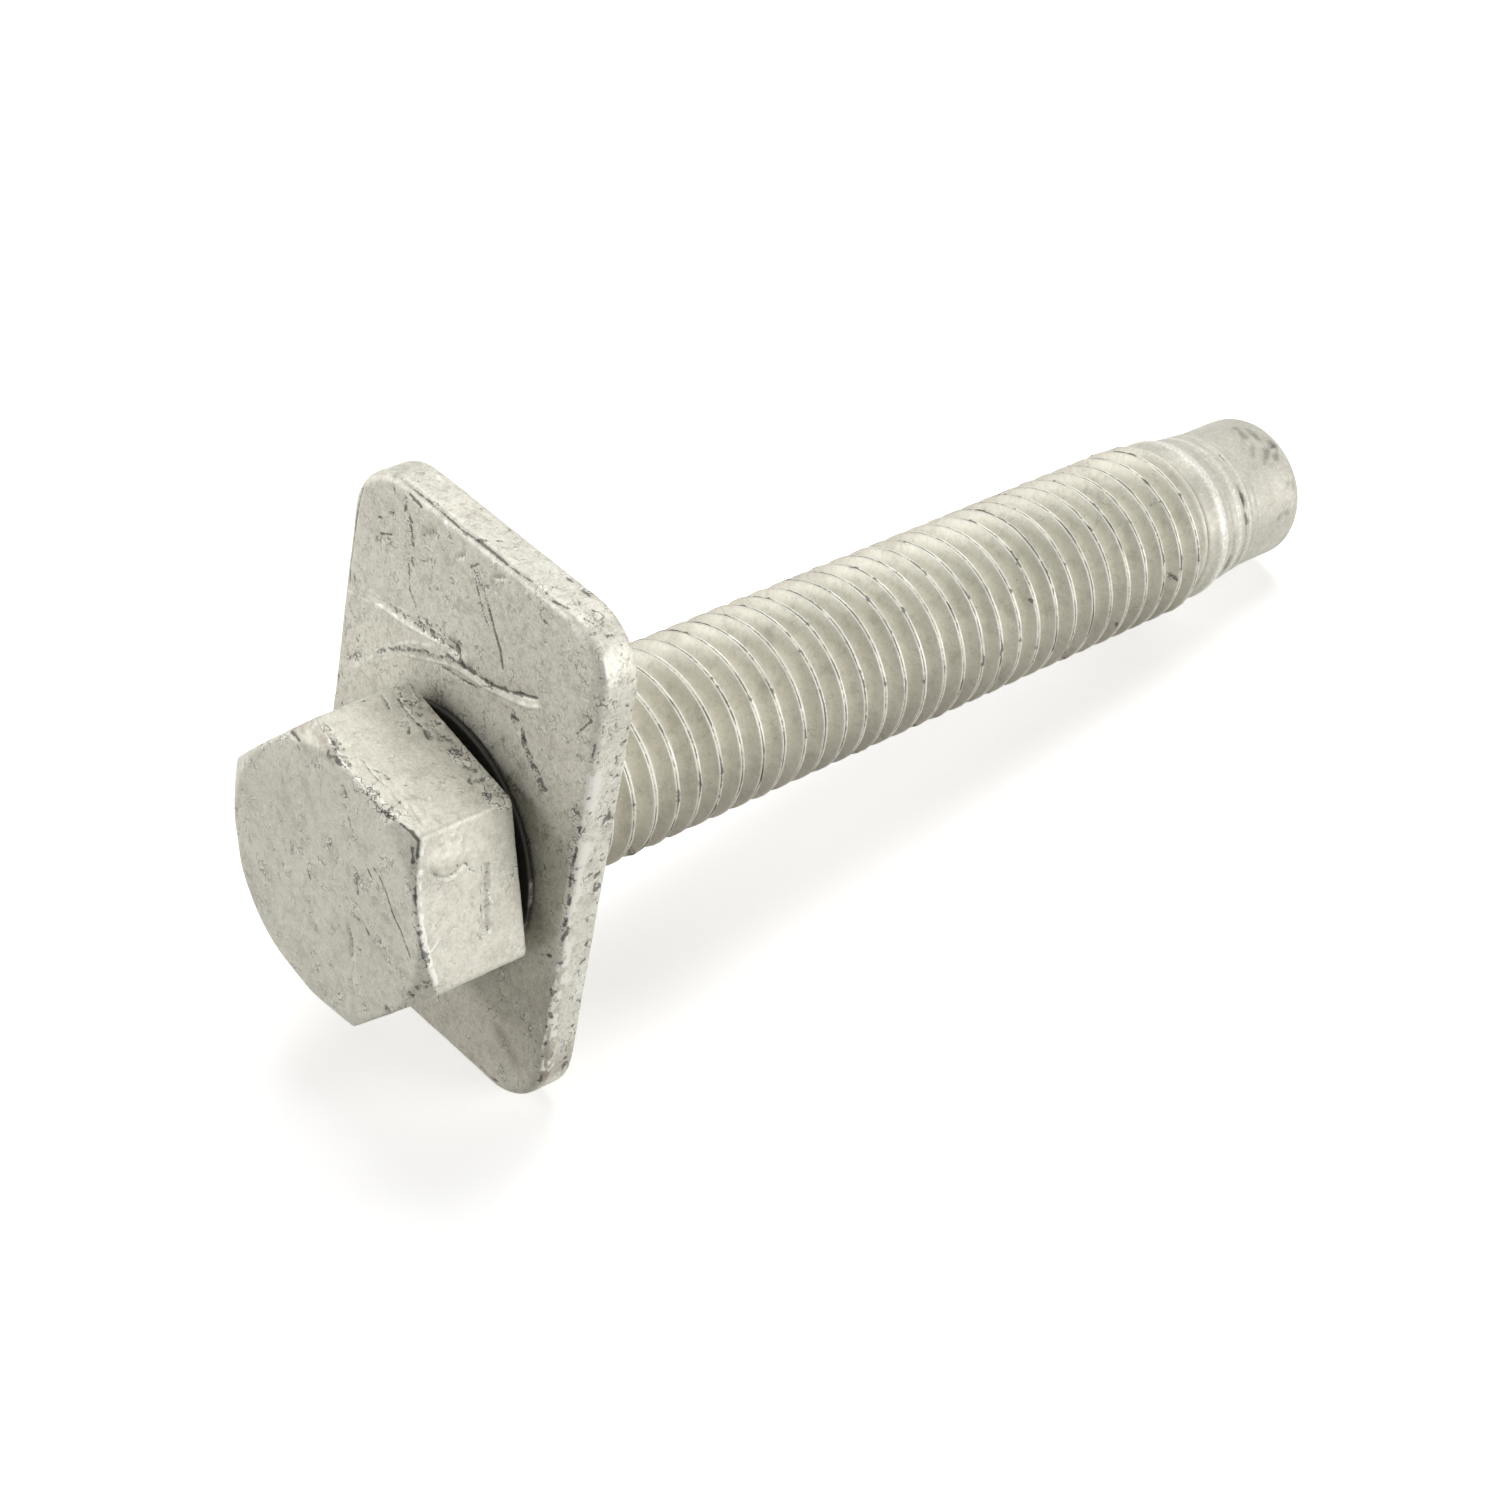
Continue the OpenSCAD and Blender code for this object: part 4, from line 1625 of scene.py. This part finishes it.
@dataclass
class PlateWasher(Piece):
    """Blanked plate with rounded corners and a hole off its centre, in mm."""

    width: float = 22.0
    length: float = 35.0
    thickness: float = 2.6
    corner_r: float = 4.0
    hole_shift: float = 2.75
    hole_d: float = 11.3
    front_r: float = 0.55
    rear_r: float = 0.2
    gap: float = 0.1
    grain: float = 0.118
    # The mesh this near to the rear face is collapsed until this share of all faces is left.
    thinned_h: float = 0.6
    thinned: float = 0.66

    @property
    def rear_face(self) -> float:
        """Z of the face towards the thread."""
        return self.gap + self.thickness

    def front(self) -> RolledFace:
        """Gives the face towards the head, with the rolled edge and the side behind it."""
        return RolledFace(
            half_w=self.width / 2, half_l=self.length / 2, rise=self.hole_shift,
            corner_r=self.corner_r, roll_r=self.front_r, low=self.gap,
        )

    def shape(self) -> bpy.types.Object:
        """Blanks the plate: rounds its corners, breaks its edges and punches its hole.

        Returns:
            The plate, on the bench.
        """
        Bench.clear()
        middle = self.gap + self.thickness / 2
        bpy.ops.mesh.primitive_cube_add(
            size=1, location=(-self.hole_shift, 0, middle),
            scale=(self.length, self.width, self.thickness),
        )
        plate = Bench.start("plate_body")
        Bench.select_edges(plate, lambda a, b: abs(a.z - b.z) > self.thickness / 2)
        bpy.ops.mesh.bevel(offset=self.corner_r, segments=12, affect="EDGES")
        Bench.select_edges(plate, lambda a, b: a.z < middle and b.z < middle)
        bpy.ops.mesh.bevel(offset=self.front_r, segments=4, affect="EDGES")
        Bench.select_edges(plate, lambda a, b: min(a.z, b.z) > self.rear_face - 0.01)
        bpy.ops.mesh.bevel(offset=self.rear_r, segments=3, affect="EDGES")
        bpy.ops.object.mode_set(mode="OBJECT")
        punch = Bench.bar("punch", ROUND, self.hole_d / 2, -OVERRUN, self.thickness + OVERRUN)
        Bench.cut(plate, punch, "DIFFERENCE")
        Bench.blast(plate, self.grain, rounds=3)
        Bench.thin(plate, self.thinned, lambda place: place.z > self.rear_face - self.thinned_h)
        return plate

    def age(self, plate: bpy.types.Object) -> None:
        """Works in the wear that the plate has, with painted shade and highlight along the pressed
        arcs, and painted shade low down and beside the head.

        Args:
            plate: the plate, on the bench.
        """
        skin = Skin(plate, seed=53)
        skin.find_edges(full=0.03, reach=30)
        skin.uneven(grain=4.5, height=0.045)
        skin.uneven(grain=1.1, height=0.012)
        skin.wear_edges(bright=0.3, dark=0.33, chip=0.02)
        skin.busy += 0.35 * skin.patches(grain=4.0, low=0.4, high=0.6)
        front = self.front()
        beside_head = ((-4.3, 11.4), (-5.5, 10.4), (-6.6, 9.2), (-7.5, 8.5))
        skin.roughen(front, beside_head, width=0.6, depth=0.02)
        skin.mark(front, {
            MarkKind.DUSK: (
                ((-10.8, 8.0), (-10.85, 4.0), (-10.85, 0.0), (-10.9, -4.0), (-10.9, -9.0)),
            ),
        }, share=0.7)
        skin.mark(front, PLATE_MARKS)
        x, y, z = skin.points.T
        # Painted shade: the front is darker and browner low down and towards its sides.
        skin.stain_and_shade += 0.35 * smooth_step(x + 0.6 * np.abs(y + 4.0), 0.0, 12.0) * (z < 1.0)
        # The long sides are torn towards both faces, rubbed bright and, low down, brown.
        wall = smooth_step(np.abs(y), self.width / 2 - 0.25, self.width / 2 - 0.05)
        for torn, level in ((smooth_step(z, 1.5, 2.2), 0.62), (smooth_step(z, 1.0, 0.4), 0.66)):
            skin.speckle(wall * torn, grain=0.42, level=level, tone=0.6, depth=0.04)
        skin.speckle(wall, grain=0.5, level=0.7, tone=0.5, depth=0.03)
        lower = smooth_step(x, 7.0, 11.0)
        rubbed = skin.patches(grain=1.6, low=0.5, high=0.66, octaves=3, shift=17.0)
        skin.worn_and_highlight += 0.33 * wall * (1 - 0.8 * lower) * rubbed
        skin.stain_and_shade += 0.45 * wall * lower
        scratches = (MarkKind.HAIR, MarkKind.FLECK, MarkKind.GLINT)
        skin.scatter(count=200, length=1.2, kinds=scratches)
        skin.finish()


@dataclass(frozen=True)
class Softbox:
    """A square lamp that points at the bolt.

    Attributes:
        name: the lamp's name.
        place: where it stands, in metres.
        size: its side, in metres.
        power: its power, in watts.
    """

    name: str
    place: tuple[float, float, float]
    size: float
    power: float

    def build(self) -> None:
        """Puts up the lamp."""
        lamp = bpy.data.lights.new(self.name, "AREA")
        lamp.shape = "SQUARE"
        lamp.size = self.size
        lamp.energy = self.power
        stand = bpy.data.objects.new(self.name, lamp)
        bpy.context.scene.collection.objects.link(stand)
        stand.location = self.place
        stand.rotation_euler = (-Vector(self.place)).to_track_quat("-Z", "Y").to_euler()


@dataclass
class Studio:
    """Pale floor, soft lamps and the white surroundings.

    Attributes:
        floor_side: side of the floor, in metres.
        fill: how strongly the surroundings light the bolt. They are plain white to the camera.
        lamps: the lamps.
    """

    floor_side: float = 3.0
    fill: float = 0.03
    lamps: tuple[Softbox, ...] = (
        Softbox("high", (0.21, 0.21, 0.63), 0.4, 2.85),
        Softbox("side", (0.34, -0.588, 0.169), 0.4, 3.4),
        Softbox("front", (-0.478, 0.478, 0.181), 0.4, 2.57),
    )

    @staticmethod
    def seen(tree: bpy.types.NodeTree) -> bpy.types.NodeSocket:
        """Tells what is seen directly, mirrored or through glass from what only gets light.

        Args:
            tree: the node tree to work in.

        Returns:
            A socket that is 1 for camera, glossy and transmission rays.
        """
        rays = add_node(tree, "ShaderNodeLightPath").outputs
        mirrored = add_node(
            tree, "ShaderNodeMath", {"operation": "MAXIMUM"},
            {0: rays["Is Glossy Ray"], 1: rays["Is Transmission Ray"]},
        ).outputs[0]
        return add_node(
            tree, "ShaderNodeMath", {"operation": "MAXIMUM"},
            {0: rays["Is Camera Ray"], 1: mirrored},
        ).outputs[0]

    def build(self) -> None:
        """Sets up the floor, the lamps, the world and the colour view."""
        Bench.clear()
        bpy.ops.mesh.primitive_plane_add(size=self.floor_side, location=(0, 0, 0))
        floor = Bench.start("floor")
        floor.data.materials.append(Paper().make())
        for lamp in self.lamps:
            lamp.build()
        world = bpy.data.worlds.new("white_room")
        tree = empty_tree(world)
        unseen, seen = (
            add_node(
                tree, "ShaderNodeBackground", None, {"Color": linear(WHITE), "Strength": strength}
            ).outputs[0]
            for strength in (self.fill, 1.0)
        )
        room = add_node(
            tree, "ShaderNodeMixShader", None, {0: self.seen(tree), 1: unseen, 2: seen}
        )
        add_node(tree, "ShaderNodeOutputWorld", None, {"Surface": room.outputs[0]})
        bpy.context.scene.world = world
        bpy.context.scene.view_settings.view_transform = "Standard"


@dataclass(frozen=True)
class View:
    """The photograph's view of the bolt.

    Attributes:
        target: the point that it looks at, in mm.
        distance: distance of the camera from that point, in mm.
        azimuth: direction to the camera about the vertical, 0 in front of the floor's -Y side.
        elevation: height of the camera above the horizon, in degrees.
        roll: turn of the picture about the line of sight, in degrees.
        lens: focal length, in mm.
        film: width of the picture in the camera, in mm.
        reach: nearest and farthest distance that is seen, in metres.
    """

    target: tuple[float, float, float] = (-7.861, -1.108, 8.202)
    distance: float = 230.05
    azimuth: float = -44.94
    elevation: float = 42.99
    roll: float = 4.33
    lens: float = 88.22
    film: float = 36.0
    reach: tuple[float, float] = (0.01, 20.0)

    def build(self) -> None:
        """Sets up the camera."""
        turn, rise = math.radians(self.azimuth), math.radians(self.elevation)
        back = Vector(
            (math.sin(turn) * math.cos(rise), -math.cos(turn) * math.cos(rise), math.sin(rise))
        )
        lens = bpy.data.cameras.new("camera")
        lens.sensor_width = self.film
        lens.lens = self.lens
        lens.clip_start, lens.clip_end = self.reach
        camera = bpy.data.objects.new("camera", lens)
        bpy.context.scene.collection.objects.link(camera)
        camera.location = (Vector(self.target) + back * self.distance) * MM
        level = (-back).to_track_quat("-Z", "Y").to_matrix()
        roll = Matrix.Rotation(math.radians(self.roll), 3, "Z")
        camera.rotation_euler = (level @ roll).to_euler()
        bpy.context.scene.camera = camera


def main() -> None:
    """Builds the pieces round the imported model, then the studio and the camera."""
    logging.basicConfig(level=logging.INFO, format="%(message)s")
    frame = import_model()

    head = Head()
    pose = RestPose.from_record(frame["record"], head.length)
    bolt = [
        # The head's darkest colour is near black, so that the collar's recess, painted as shade,
        # shows near black.
        head.build(pose, ZincFlake("zinc_flake_head", grime_and_shade="#302D29", mottle=0.32)),
        Thread().build(pose, ZincFlake(
            "zinc_flake_thread", light="#E8E5D8", middle="#DBD8CB", mottle=0.2, speckle=0.0,
            curls=0.3,
        )),
        PilotPoint().build(pose, ZincFlake(
            "zinc_flake_point", light="#D0CDC1", middle="#C3C0B4", stain_and_shade="#89847A",
            mottle=0.25, speckle=0.0, curls=0.2,
        )),
    ]
    plate = PlateWasher().build(
        pose, ZincFlake("zinc_flake_plate", light="#E5E2D5", middle="#DAD7CA", mottle=0.48)
    )
    for piece in bolt:
        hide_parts("bolt")
        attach(piece, "bolt")
    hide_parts("plate_washer")
    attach(plate, "plate")
    for piece in (*bolt, plate):
        piece.data.calc_loop_triangles()
        log.info("%s: %d triangles", piece.name, len(piece.data.loop_triangles))

    Studio().build()
    View().build()


if __name__ == "__main__":
    main()
